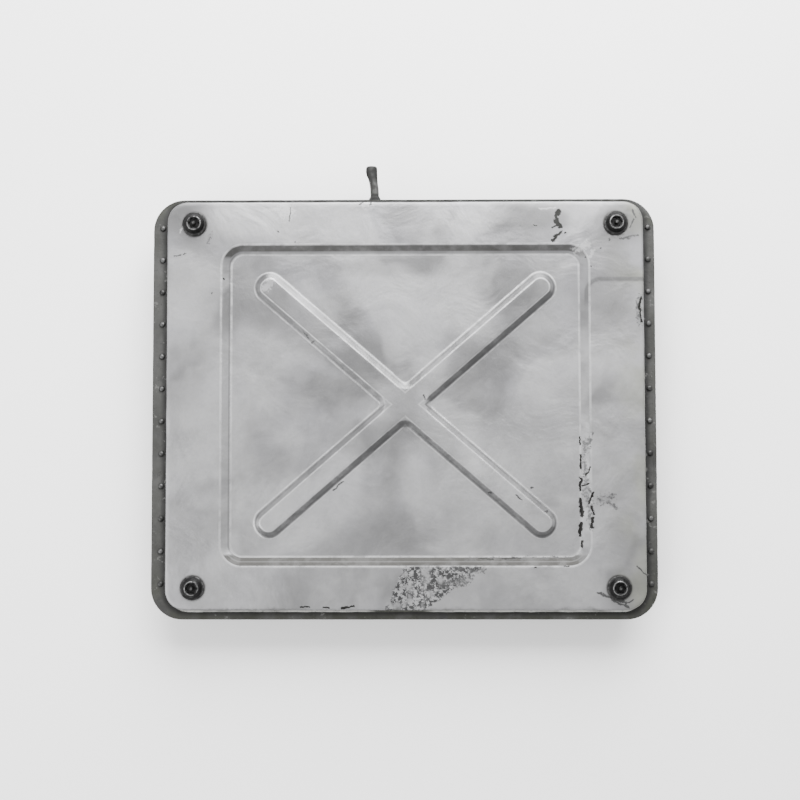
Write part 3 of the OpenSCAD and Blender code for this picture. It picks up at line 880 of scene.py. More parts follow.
def rivet_worn_and_glinting(s):
    """Grimy rivets with a crown painted bright: painted highlight, partly rubbed wear."""
    steel = Vector(s.steel)
    crown_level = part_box("rivets_left")[1].z

    def crown(w, place):
        z = w.split(place)[2]
        patchy = w.math("MULTIPLY", w.math("SUBTRACT", w.noise(place, 300.0, 3.0), 0.5), 0.9 * MM)
        return w.between(w.math("ADD", z, patchy), crown_level - 0.95 * MM, crown_level - 0.35 * MM)

    def colour(w):
        place = w.place()
        base = w.mix(w.between(w.noise(place, 130.0, 5.0, 0.65), 0.35, 0.65), tuple(0.5 * steel),
                     tuple(1.5 * steel))
        # Painted highlight on the crown, partly rubbed wear.
        rubbed = w.math("MULTIPLY", crown(w, place), w.between(w.noise(place, 33.0), 0.42, 0.6, 0.1, 1.0))
        return w.mix(rubbed, base, (0.075, 0.075, 0.075))

    def roughness(w):
        place = w.place()
        return w.math("SUBTRACT", w.between(w.noise(place, 200.0, 3.0), 0.3, 0.7, 0.6, 0.75),
                      w.math("MULTIPLY", crown(w, place), 0.25))

    return finish_of("rivet_steel", colour, roughness, 0.7, lambda w: w.noise(w.place(), 500.0, 4.0, 0.6),
                     0.5,
                     0.4 * MM)


def scaled_steel(s):
    """A hot-forged bar: black scale, greyer over a band short of its tip."""
    steel = Vector(s.steel)

    def colour(w):
        place = w.place()
        y = w.split(place)[1]
        base = w.mix(w.between(w.noise(place, 90.0, 5.0, 0.65), 0.3, 0.7), tuple(0.22 * steel),
                     tuple(0.6 * steel))
        grey_band = w.math("MULTIPLY", w.between(y, 222 * MM, 227 * MM), w.between(y, 234 * MM, 242 * MM, 1.0, 0.0))
        grey_band = w.math("MULTIPLY", grey_band, w.between(w.noise(place, 160.0, 4.0, 0.6), 0.32, 0.6, 0.25, 1.0))
        return w.mix(grey_band, base, tuple(2.0 * steel))

    def roughness(w):
        return w.between(w.noise(w.place(), 150.0, 4.0), 0.3, 0.7, 0.5, 0.8)

    def height(w):
        return w.noise(w.place(), 260.0, 5.0, 0.65)

    return finish_of("lug_steel", colour, roughness, 0.6, height, 0.6, 0.6 * MM)


def dusty_rubber(s):
    """The gasket: grey with dust where it looks out, darker in between."""
    rubber = Vector(s.rubber)

    def colour(w):
        place = w.place()
        x, y, _ = w.split(place)
        dust = w.between(w.noise(place, 45.0, 5.0, 0.6), 0.3, 0.62, 0.35, 1.0)
        front = w.between(y, -215 * MM, -212.5 * MM, 1.0, 0.3)
        dusty = w.mix(w.math("MULTIPLY", dust, front), tuple(1.6 * rubber), tuple(12.0 * rubber))
        dirt_middle = w.between(w.math("ABSOLUTE", w.math("SUBTRACT", x, -5 * MM)), 22 * MM, 40 * MM, 0.9,
                                0.0)
        base = w.mix(dirt_middle, dusty, (0.02, 0.021, 0.014))
        pits = w.group(speckle(), Place=place, Scale=700.0, Cover=0.45)
        return w.mix(w.math("MULTIPLY", pits, 0.5), base, tuple(0.5 * rubber))

    def roughness(w):
        return w.between(w.noise(w.place(), 90.0, 3.0), 0.3, 0.7, 0.8, 0.95)

    def height(w):
        return w.noise(w.place(), 800.0, 4.0, 0.7)

    return finish_of("gasket_rubber", colour, roughness, 0.0, height, 0.5, 0.4 * MM)


def plain_rubber(s):
    rubber = Vector(s.rubber)

    def colour(w):
        place = w.place()
        return w.mix(w.between(w.noise(place, 220.0, 4.0, 0.6), 0.35, 0.7), tuple(0.35 * rubber),
                     tuple(1.1 * rubber))

    def roughness(w):
        return w.between(w.noise(w.place(), 160.0, 3.0), 0.3, 0.7, 0.55, 0.8)

    return finish_of("seal_rubber", colour, roughness, 0.0, lambda w: w.noise(w.place(), 900.0, 3.0), 0.3,
                     0.3 * MM)


def black_screw(s):
    """Blackened steel, painted bright round the recess and on the pin as highlight, partly rubbed wear, with
    painted shade in the recess.
    """
    black = Vector(s.black)

    # Painted highlight, partly rubbed wear: a ring round the recess and the pin's tip.
    def rubbed(w, place):
        away = w.group(screw_distance(), Place=place, Spot=screw_spot())
        z = w.split(place)[2]
        up = w.between(z, 64.2 * MM, 65.0 * MM)
        patchy = w.between(w.noise(place, 330.0, 4.0, 0.65), 0.4, 0.56, 0.1, 1.0)
        ring = w.group(line_on(), Distance=away, Centre=6.95 * MM, Width=0.8 * MM)
        tip = w.between(away, 0.6 * MM, 1.8 * MM, 0.6, 0.0)
        return w.math("MULTIPLY", w.math("MULTIPLY", w.math("MAXIMUM", ring, tip), up), patchy)

    def colour(w):
        place = w.place()
        z = w.split(place)[2]
        away = w.group(screw_distance(), Place=place, Spot=screw_spot())
        dust = w.between(w.noise(place, 240.0, 5.0, 0.65), 0.42, 0.75, 0.0, 0.55)
        base = w.mix(dust, tuple(0.5 * black), tuple(2.6 * black))
        # Painted shade in the star recess.
        hollow = w.math("MULTIPLY", w.between(away, 5.9 * MM, 6.3 * MM, 1.0, 0.0),
                        w.between(z, 64.6 * MM, 65.2 * MM, 1.0, 0.0))
        base = w.mix(w.math("MULTIPLY", hollow, 0.95), base, tuple(0.12 * black))
        thread = w.between(z, 60 * MM, 61 * MM, 0.6, 0.0)
        base = w.mix(thread, base, (0.16, 0.16, 0.15))
        return w.mix(rubbed(w, place), base, (0.13, 0.13, 0.13))

    def roughness(w):
        place = w.place()
        return w.math("SUBTRACT", w.between(w.noise(place, 180.0, 4.0), 0.3, 0.7, 0.38, 0.6),
                      w.math("MULTIPLY", rubbed(w, place), 0.12))

    def height(w):
        return w.noise(w.place(), 700.0, 4.0, 0.6)

    return finish_of("black_screw", colour, roughness, 0.75, height, 0.35, 0.3 * MM)


def black_washer(s):
    """Blackened washers, dusty, with their outer edge rubbed a little."""
    black = Vector(s.black)

    def colour(w):
        place = w.place()
        away = w.group(screw_distance(), Place=place, Spot=screw_spot())
        dust = w.between(w.noise(place, 190.0, 5.0, 0.65), 0.4, 0.75, 0.0, 0.6)
        base = w.mix(dust, tuple(0.6 * black), tuple(2.6 * black))
        rim = w.math("MULTIPLY", w.group(line_on(), Distance=away, Centre=12.2 * MM, Width=0.9 * MM),
                     w.between(w.noise(place, 260.0, 4.0, 0.6), 0.45, 0.62, 0.0, 0.6))
        return w.mix(rim, base, (0.09, 0.09, 0.09))

    def roughness(w):
        return w.between(w.noise(w.place(), 170.0, 4.0), 0.3, 0.7, 0.45, 0.7)

    return finish_of("black_washer", colour, roughness, 0.6, lambda w: w.noise(w.place(), 650.0, 4.0, 0.6),
                     0.35,
                     0.3 * MM)


def chassis_steel(s):
    """The hidden rails and walls: dull steel, rust bloom near the feet, dirt runs down the webs."""
    steel = Vector(s.steel)

    def colour(w):
        place = w.place()
        z = w.split(place)[2]
        base = w.mix(w.between(w.noise(place, 20.0, 5.0, 0.6), 0.3, 0.7), tuple(2.2 * steel),
                     tuple(5.0 * steel))
        runs = w.noise(w.vector("MULTIPLY", place, (140.0, 140.0, 9.0)), 1.0, 4.0, 0.6)
        base = w.mix(w.between(runs, 0.5, 0.72, 0.0, 0.6), base, tuple(1.1 * steel))
        low = w.math("ADD", z, w.math("MULTIPLY", w.noise(place, 60.0, 4.0, 0.6), -22 * MM))
        bloom = w.math("MULTIPLY", w.between(low, -9 * MM, 2 * MM, 1.0, 0.0),
                       w.between(w.noise(place, 75.0, 5.0, 0.7), 0.36, 0.56))
        base = w.mix(w.math("MULTIPLY", bloom, 0.8), base, (0.095, 0.045, 0.022))
        pits = w.group(speckle(), Place=place, Scale=420.0, Cover=0.35)
        return w.mix(w.math("MULTIPLY", pits, 0.5), base, tuple(0.35 * steel))

    def roughness(w):
        return w.between(w.noise(w.place(), 50.0, 4.0), 0.3, 0.7, 0.5, 0.8)

    def height(w):
        return w.noise(w.place(), 260.0, 5.0, 0.65)

    return finish_of("chassis_steel", colour, roughness, 0.5, height, 0.45, 0.5 * MM)


def zinc_steel(s):
    """Zinc plated nuts and spacers, dulled, with a little white bloom."""

    def colour(w):
        place = w.place()
        base = w.mix(w.between(w.noise(place, 110.0, 4.0, 0.6), 0.3, 0.7), (0.24, 0.235, 0.21),
                     (0.46, 0.45, 0.41))
        bloom = w.group(breakup(), Place=place, Scale=190.0, Cover=0.4, Soft=0.05)
        base = w.mix(w.math("MULTIPLY", bloom, 0.45), base, (0.6, 0.6, 0.57))
        pits = w.group(speckle(), Place=place, Scale=650.0, Cover=0.3)
        return w.mix(w.math("MULTIPLY", pits, 0.6), base, tuple(0.6 * part for part in s.steel))

    def roughness(w):
        return w.between(w.noise(w.place(), 130.0, 4.0), 0.3, 0.7, 0.32, 0.55)

    return finish_of("zinc_steel", colour, roughness, 0.85, lambda w: w.noise(w.place(), 500.0, 4.0), 0.3,
                     0.3 * MM)


def weld_steel(s):
    """Weld beads: blue-black ripples with rust in the hollows."""

    def colour(w):
        place = w.place()
        base = w.mix(w.between(w.noise(place, 230.0, 4.0, 0.6), 0.3, 0.7), (0.035, 0.035, 0.04),
                     (0.16, 0.155, 0.15))
        rust = w.group(breakup(), Place=place, Scale=120.0, Cover=0.42, Soft=0.05)
        return w.mix(w.math("MULTIPLY", rust, 0.6), base, (0.12, 0.055, 0.028))

    def roughness(w):
        return w.between(w.noise(w.place(), 160.0, 4.0), 0.3, 0.7, 0.45, 0.7)

    return finish_of("weld_steel", colour, roughness, 0.6, lambda w: w.noise(w.place(), 480.0, 4.0, 0.6), 0.4,
                     0.4 * MM)


# ---------------------------------------------------------------- the pieces


def screw_holes(level, diameter):
    """Four open rings at one level, one at each screw."""
    return [start("hole_" + corner, bpy.ops.mesh.primitive_circle_add, vertices=32,
                  radius=diameter / 2, fill_type="NOTHING", location=(spot.x, spot.y, level))
            for corner, spot in SCREW_SPOTS.items()]


def fill_flat(level, skip=lambda edge: False):
    """Fills the flat between all open loops at one level."""
    select("EDGE", lambda edge: len(edge.link_faces) < 2 and at_level(edge, level)
           and not skip(edge))
    bpy.ops.mesh.fill(use_beauty=True)


class ACCESS_COVER_OT_sheet(bpy.types.Operator):
    """Presses the cover from sheet: hem, rim, sunken panel and raised cross"""

    bl_idname = "access_cover.sheet"
    bl_label = "Cover sheet"

    def rim(self, s):
        """The hemmed edge: a full half round, with the flat inside it left open."""
        piece = rounded_face("cover_sheet", COVER_LOW, COVER_HIGH, HEM_UNDER, s.corner, 12)
        bend = (RIM_TOP - HEM_UNDER) / 2 - 0.01 * MM
        with shaping():
            select("EDGE", lambda edge: edge.calc_length() > 50 * MM)
            bpy.ops.mesh.subdivide(number_cuts=110)
            bpy.ops.mesh.select_mode(type="FACE")
            bpy.ops.mesh.select_all(action="SELECT")
            raise_by(0, 0, RIM_TOP - HEM_UNDER)
            close_up()
            select("EDGE", lambda edge: folded(edge, 60))
            round_edges(bend, 5)
            select("FACE", lambda face: len(face.verts) > 60 and face.normal.z > 0.9)
            step_in(3 * MM)
            bpy.ops.mesh.delete(type="FACE")
            select("FACE", lambda face: len(face.verts) > 60 and face.normal.z < -0.9)
            step_in(s.hem - bend)
            bpy.ops.mesh.delete(type="FACE")
        return piece

    def panel(self, s):
        """The slope down to the panel, with a flat margin above and below it."""
        margin = 3.5 * MM
        half = Vector((s.panel_width / 2 + margin, s.panel_depth / 2 + margin))
        piece = rounded_face("panel_slope", -half, half, RIM_TOP, s.panel_corner + margin, 12)
        with shaping():
            bpy.ops.mesh.select_mode(type="FACE")
            bpy.ops.mesh.select_all(action="SELECT")
            step_in(margin)
            step_in(s.panel_flank, -s.panel_drop)
            step_in(margin)
            bpy.ops.mesh.delete(type="FACE")
        return piece

    def cross(self, s):
        """The raised cross: a lozenge drawn out into four arms, then stepped up."""
        margin = 3 * MM
        level = RIM_TOP - s.panel_drop
        half = s.arm_flat / 2 + s.arm_flank + margin
        reach = Vector((s.reach_x, s.reach_y, 0))
        end = reach.length + half
        way = reach.normalized()
        piece = start("cross_slope", bpy.ops.mesh.primitive_circle_add, vertices=4, radius=1,
                      fill_type="NGON", location=(0, 0, level))
        with shaping():
            bpy.ops.mesh.select_all(action="SELECT")
            bpy.ops.transform.resize(value=(half / way.y, half / way.x, 1),
                                     center_override=(0, 0, level))
            for side_x in (-1, 1):
                for side_y in (-1, 1):
                    arm = Vector((side_x * way.x, side_y * way.y, 0))
                    select("EDGE", lambda edge: middle(edge).x * side_x > SAME_PLACE
                           and middle(edge).y * side_y > SAME_PLACE
                           and middle(edge).xy.length < 2.5 * half)
                    raise_by(*(arm * (end - 2 * half)))
                    for _ in range(2):
                        form = bmesh.from_edit_mesh(bpy.context.object.data)
                        short = min((part for part in form.verts if part.co.xy.dot(arm.xy) > half * 6),
                                    key=lambda part: part.co.xy.dot(arm.xy))
                        gap = end - short.co.xy.dot(arm.xy)
                        spot = short.co.copy()
                        select("VERT", lambda part: (part.co - spot).length < SAME_PLACE)
                        bpy.ops.transform.translate(value=arm * gap)
            bpy.ops.mesh.select_mode(type="FACE")
            bpy.ops.mesh.select_all(action="SELECT")
            bpy.ops.mesh.normals_make_consistent(inside=False)
            bpy.ops.mesh.dissolve_faces()
            select("VERT", lambda part: part.co.xy.length < 3 * half)
            clip_corners(4 * MM, 4)
            select("VERT", lambda part: part.co.xy.length > 3 * half)
            clip_corners(half * 0.93, 7)
            select("FACE", lambda face: True)
            if bmesh.from_edit_mesh(piece.data).faces[:][0].normal.z < 0:
                bpy.ops.mesh.flip_normals()
            step_in(margin)
            step_in(s.arm_flank, s.arm_rise)
            step_in(margin)
        return piece

    def execute(self, context):
        s = context.scene.sheet_settings
        parts = [self.rim(s), self.panel(s), self.cross(s)] + screw_holes(RIM_TOP, s.hole)
        piece = join("cover_sheet", parts)
        with shaping():
            fill_flat(RIM_TOP)
            fill_flat(RIM_TOP - s.panel_drop)
            select("EDGE", lambda edge: folded(edge, 22) and middle(edge).z > HEM_UNDER - 2 * MM
                   and not edge.is_boundary
                   and abs(middle(edge).x) < COVER_HIGH.x - 10 * MM
                   and abs(middle(edge).y) < COVER_HIGH.y - 10 * MM)
            round_edges(s.press_bend, 4)
            bpy.ops.mesh.select_mode(type="VERT")
            bpy.ops.mesh.select_all(action="SELECT")
            bpy.ops.mesh.remove_doubles(threshold=0.004 * MM)
            bpy.ops.mesh.normals_make_consistent(inside=False)
            form = bmesh.from_edit_mesh(piece.data)
            if max(form.faces, key=lambda face: face.calc_center_median().z).normal.z < 0:
                bpy.ops.mesh.flip_normals()
        modify(piece, "SOLIDIFY", thickness=s.thickness, offset=-1.0, use_even_offset=True,
               use_quality_normals=True)
        hem = piece.vertex_groups.new(name="hem")
        edge_x, edge_y = COVER_HIGH.x - 3 * MM, COVER_HIGH.y - 3 * MM
        hem.add([part.index for part in piece.data.vertices
                 if abs(part.co.x) > edge_x or abs(part.co.y) > edge_y], 1.0, "ADD")
        ripple(piece, 25 * MM, 0.5 * MM, 1.0, "hem")
        deliver(piece, galvanised_sheet(s), "galvanised_sheet", "cover", "cover", sharp=30)
        return {"FINISHED"}


class ACCESS_COVER_OT_flange(bpy.types.Operator):
    """Cuts the frame plate, with its clear opening and worn edges"""

    bl_idname = "access_cover.flange"
    bl_label = "Frame plate"

    def execute(self, context):
        s = context.scene.frame_settings
        half = Vector((s.opening_width / 2, s.opening_depth / 2))
        piece = slab("frame_flange", PLATE_LOW, PLATE_HIGH, s.corner, s.edge)
        cutter = slab("opening", Vector((*-half, PLATE_LOW.z - s.plate)),
                      Vector((*half, PLATE_HIGH.z + s.plate)), 20 * MM)
        holes = [start("bore", bpy.ops.mesh.primitive_cylinder_add, vertices=32, radius=6.75 * MM,
                       depth=4 * s.plate, location=(spot.x, spot.y, PLATE_HIGH.z - s.plate / 2))
                 for spot in SCREW_SPOTS.values()]
        cut_away(piece, join("opening", [cutter, *holes]))
        ripple(piece, 18 * MM, 0.25 * MM, 1.0)
        deliver(piece, frame_steel(s), "frame_steel", "frame", "frame_plate")
        return {"FINISHED"}


class ACCESS_COVER_OT_rivets(bpy.types.Operator):
    """Closes one rivet and sets it along both sides of the frame"""

    bl_idname = "access_cover.rivets"
    bl_label = "Rivets"

    def rivet(self, x, y, low, high):
        head = (high.x - low.x) / 2
        top, tail = high.z, low.z
        seat, under = PLATE_HIGH.z - 0.15 * MM, 2 * PLATE_LOW.z - PLATE_HIGH.z
        return turned("rivet", (x, y), (
            (1.6 * MM, tail), (2.6 * MM, tail + 0.2 * MM), (3.0 * MM, tail + 0.6 * MM),
            (3.0 * MM, under), (2.0 * MM, under), (2.0 * MM, seat), (head, seat),
            (head, seat + 0.45 * MM), (0.92 * head, top - 1.25 * MM), (0.75 * head, top - 0.6 * MM),
            (0.5 * head, top - 0.2 * MM), (0.2 * head, top - 0.03 * MM),
        ), 20)

    def execute(self, context):
        s = context.scene.frame_settings
        steel = rivet_worn_and_glinting(s)
        for side in ("left", "right"):
            low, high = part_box("rivets_" + side)
            x = (low.x + high.x) / 2
            first_y = -(s.rivets - 1) / 2 * s.pitch
            row = [self.rivet(x, first_y, low, high)]
            row += [copy_to(row[0], "rivet", (0, place * s.pitch, 0)) for place in range(1, s.rivets)]
            piece = join("riveting_" + side, row)
            ripple(piece, 5 * MM, 0.35 * MM, 1.0)
            deliver(piece, steel, "rivet_steel", "frame", "rivets_" + side)
        return {"FINISHED"}


class ACCESS_COVER_OT_gasket(bpy.types.Operator):
    """Lays the gasket strip that the cover is pressed down on"""

    bl_idname = "access_cover.gasket"
    bl_label = "Gasket"

    def execute(self, context):
        s = context.scene.frame_settings
        clear = 0.1 * MM
        piece = rounded_face("gasket_strip", GASKET_LOW, GASKET_HIGH, GASKET_LOW.z, 21.5 * MM, 12)
        with shaping():
            select("EDGE", lambda edge: edge.calc_length() > 50 * MM)
            bpy.ops.mesh.subdivide(number_cuts=140)
            bpy.ops.mesh.select_mode(type="FACE")
            bpy.ops.mesh.select_all(action="SELECT")
            step_in(s.gasket_width)
            bpy.ops.mesh.delete(type="FACE")
        modify(piece, "SOLIDIFY", thickness=GASKET_HIGH.z - GASKET_LOW.z - clear, offset=1.0)
        with shaping():
            select("EDGE", lambda edge: folded(edge, 60))
            round_edges(0.8 * MM, 3)
        ripple(piece, 12 * MM, 0.7 * MM, 1.0)
        deliver(piece, dusty_rubber(context.scene.fastener_settings), "gasket_rubber", "frame", "gasket")
        return {"FINISHED"}


def drawn_bar(name, level, stations, sides=24):
    """A bar along Y; each station of it is (x, y, width, height), and the first is round."""
    x, y, width, _ = stations[0]
    piece = start(name, bpy.ops.mesh.primitive_circle_add, vertices=sides, radius=width / 2,
                  fill_type="NOTHING", location=(x, y, level), rotation=(math.radians(90), 0, 0))
    with shaping():
        bpy.ops.mesh.select_mode(type="EDGE")
        bpy.ops.mesh.select_all(action="SELECT")
        for old, new in zip(stations, stations[1:]):
            raise_by(new[0] - old[0], new[1] - old[1], 0)
            bpy.ops.transform.resize(value=(new[2] / old[2], 1, new[3] / old[3]),
                                     center_override=(new[0], new[1], level))
        close_up()
    return piece


class ACCESS_COVER_OT_lug(bpy.types.Operator):
    """Forges the fixing lug: a round bar, bent aside and flattened at its tip"""

    bl_idname = "access_cover.lug"
    bl_label = "Fixing lug"

    def execute(self, context):
        s = context.scene.frame_settings
        bar = (LUG_HIGH.z - LUG_LOW.z)
        level = (LUG_HIGH.z + LUG_LOW.z) / 2
        root, tip = LUG_LOW.y, LUG_HIGH.y
        tip_width = 12.5 * MM
        tip_x = LUG_LOW.x + 6.25 * MM
        root_x = -32 * MM
        lug = drawn_bar("fixing_bar", level, (
            (root_x, root, bar, bar),
            (root_x, root + 8 * MM, bar, bar),
            (root_x - 0.1 * MM, root + 17 * MM, bar, bar),
            (root_x - 0.5 * MM, root + 24 * MM, bar, 0.96 * bar),
            (root_x - 1.3 * MM, root + 30 * MM, bar, 0.92 * bar),
            (root_x - 2.2 * MM, root + 34.5 * MM, 1.1 * bar, 0.88 * bar),
            (root_x - 3.0 * MM, root + 38 * MM, 0.95 * tip_width, 0.8 * bar),
            (tip_x, tip - 6.5 * MM, tip_width, 0.74 * bar),
            (tip_x, tip - 3 * MM, tip_width, 0.7 * bar),
            (tip_x, tip - 1 * MM, 0.9 * tip_width, 0.6 * bar),
            (tip_x, tip - 0.05 * MM, 0.7 * tip_width, 0.44 * bar),
        ))
        edge = PLATE_HIGH.y
        weld = drawn_bar("lug_weld", level, (
            (root_x, edge - 1.5 * MM, 13.4 * MM, 13.4 * MM),
            (root_x, edge + 0.6 * MM, 13.6 * MM, 13.2 * MM),
            (root_x, edge + 2.2 * MM, 12.6 * MM, 12 * MM),
            (root_x, edge + 3.6 * MM, 10.8 * MM, 10.6 * MM),
            (root_x, edge + 5.2 * MM, 9.3 * MM, 9.3 * MM),
        ))
        piece = join("fixing_bar", [lug, weld])
        ripple(piece, 6 * MM, 0.3 * MM, 1.0)
        deliver(piece, scaled_steel(s), "lug_steel", "frame", "fixing_lug", sharp=50)
        return {"FINISHED"}


class ACCESS_COVER_OT_screws(bpy.types.Operator):
    """Turns a button head screw with its recess, pin and thread, and sets one at each corner"""

    bl_idname = "access_cover.screws"
    bl_label = "Screws"

    def lobes(self, spot, level, core, across):
        """Draws the round edge of the recess out into six lobes."""
        lobe = 0.13 * across
        reach = across / 2 - lobe
        for degrees in (0, 5, 10, 15):
            turn = math.radians(degrees)
            radius = reach * math.cos(turn) + math.sqrt(lobe ** 2 - (reach * math.sin(turn)) ** 2)

            def in_lobe(corner):
                way = (corner.co - spot).xy
                off = abs((math.degrees(math.atan2(way.y, way.x)) + 30) % 60 - 30)
                return (abs(corner.co.z - level) < 0.01 * MM
                        and abs(way.length - core) < 0.02 * MM and abs(off - degrees) < 1)

            select("VERT", in_lobe)
            ratio = radius / core
            bpy.ops.transform.resize(value=(ratio, ratio, 1), center_override=(spot.x, spot.y, level))

    def head(self, s, spot, low, top):
        """The head and the shank's core, with the recess let into the head."""
        seat = 61.4 * MM
        ball = (s.head ** 2 / 4 + s.height ** 2) / (2 * s.height)
        core = 0.39 * s.recess
        shank = s.thread / 2 - 0.75 * MM
        mouth = 7.3 * MM

        def crown(radius):
            return (radius, seat + s.height - ball + math.sqrt(ball ** 2 - radius ** 2))

        lip = crown(mouth)[1]
        piece = turned("screw", spot, (
            (shank - 1.3 * MM, low), (shank, low + 1.3 * MM), (shank, seat), (s.head / 2 - 0.3 * MM, seat),
            (s.head / 2, seat + 0.25 * MM), crown(s.head / 2 - 0.3 * MM), crown(9.7 * MM), crown(9 * MM),
            crown(8.2 * MM), crown(mouth), (6.6 * MM, lip + 0.12 * MM), (6.25 * MM, lip),
            (core, lip - 0.25 * MM),
        ), 72)
        with shaping():
            level = lip - 0.25 * MM
            self.lobes(spot, level, core, s.recess - 0.4 * MM)
            select("FACE", lambda face: len(face.verts) > 60 and face.normal.z > 0.9
                   and face.calc_center_median().z > seat)
            raise_by(0, 0, top - s.recess_depth - level)
            bpy.ops.mesh.select_all(action="SELECT")
            bpy.ops.mesh.normals_make_consistent(inside=False)
        return piece

    def thread(self, s, spot, low):
        """A ridge that climbs round the core."""
        ridge = 0.5 * MM
        piece = start("thread", bpy.ops.mesh.primitive_circle_add, vertices=4, radius=ridge,
                      fill_type="NOTHING", rotation=(math.radians(90), 0, 0),
                      location=(s.thread / 2 - ridge, 0, low + 1.7 * MM))
        with shaping():
            bpy.ops.mesh.select_all(action="SELECT")
            bpy.ops.transform.resize(value=(1, 1, 1.5), center_override=(0, 0, low + 1.7 * MM))
        modify(piece, "SCREW", angle=math.tau, screw_offset=s.pitch, iterations=15, steps=24,
               render_steps=24, axis="Z")
        with shaping():
            bpy.ops.mesh.select_all(action="SELECT")
            bpy.ops.transform.translate(value=(spot.x, spot.y, 0))
            close_up()
        return piece

    def execute(self, context):
        s = context.scene.fastener_settings
        low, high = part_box("screw_rear_left")
        spot = SCREW_SPOTS["rear_left"].copy()
        pin = turned("pin", spot, (
            (s.pin / 2, high.z - 5 * MM), (s.pin / 2, high.z - 0.35 * MM),
            (s.pin / 2 - 0.35 * MM, high.z - 0.02 * MM)), 24)
        top = high.z + s.pin_drop
        first = join("security_screw_rear_left",
                     [self.head(s, spot, low.z, top), pin, self.thread(s, spot, low.z)])
        black = black_screw(s)
        others = [copy_to(first, "security_screw_" + corner, SCREW_SPOTS[corner] - spot)
                  for corner in CORNERS[1:]]
        for corner, piece in zip(CORNERS, [first, *others]):
            deliver(piece, black, "black_screw", "screw_" + corner, "screw_" + corner)
        return {"FINISHED"}


class ACCESS_COVER_OT_washers(bpy.types.Operator):
    """Presses a steel washer and its rubber ring, and sets them under each screw"""

    bl_idname = "access_cover.washers"
    bl_label = "Sealing washers"

    def execute(self, context):
        s = context.scene.fastener_settings
        low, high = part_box("washer_rear_left")
        spot = node_centre("washer_rear_left")
        rim = (high.x - low.x) / 2
        bore = 6.05 * MM
        washer = turned("steel_washer_rear_left", spot, (
            (bore + 0.25 * MM, low.z), (rim - 0.35 * MM, low.z), (rim, low.z + 0.35 * MM),
            (rim, high.z - 0.55 * MM), (rim - 0.25 * MM, high.z - 0.2 * MM),
            (rim - 0.7 * MM, high.z - 0.02 * MM), (bore + 0.3 * MM, high.z - 0.02 * MM),
            (bore, high.z - 0.3 * MM), (bore, low.z + 0.25 * MM)), 64, hollow=True)
        low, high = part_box("seal_rear_left")
        rim = (high.x - low.x) / 2
        lift = 0.04 * MM
        middle_z = (low.z + high.z) / 2
        seal = turned("rubber_ring_rear_left", spot, (
            (7.7 * MM, low.z + lift), (rim - 0.45 * MM, low.z + lift), (rim - 0.1 * MM, low.z + 0.4 * MM),
            (rim, middle_z), (rim - 0.1 * MM, high.z - 0.4 * MM), (rim - 0.4 * MM, high.z),
            (7.7 * MM, high.z), (7.4 * MM, middle_z)), 48, hollow=True)
        steel, rubber = black_washer(s), plain_rubber(s)
        for piece, family, slot, material in ((washer, "washer_", "black_washer", steel),
                                              (seal, "seal_", "seal_rubber", rubber)):
            stem = piece.name.removesuffix("rear_left")
            others = [copy_to(piece, stem + corner, SCREW_SPOTS[corner] - SCREW_SPOTS["rear_left"])
                      for corner in CORNERS[1:]]
            for corner, twin in zip(CORNERS, [piece, *others]):
                deliver(twin, material, slot, "washer_" + corner, family + corner)
        return {"FINISHED"}


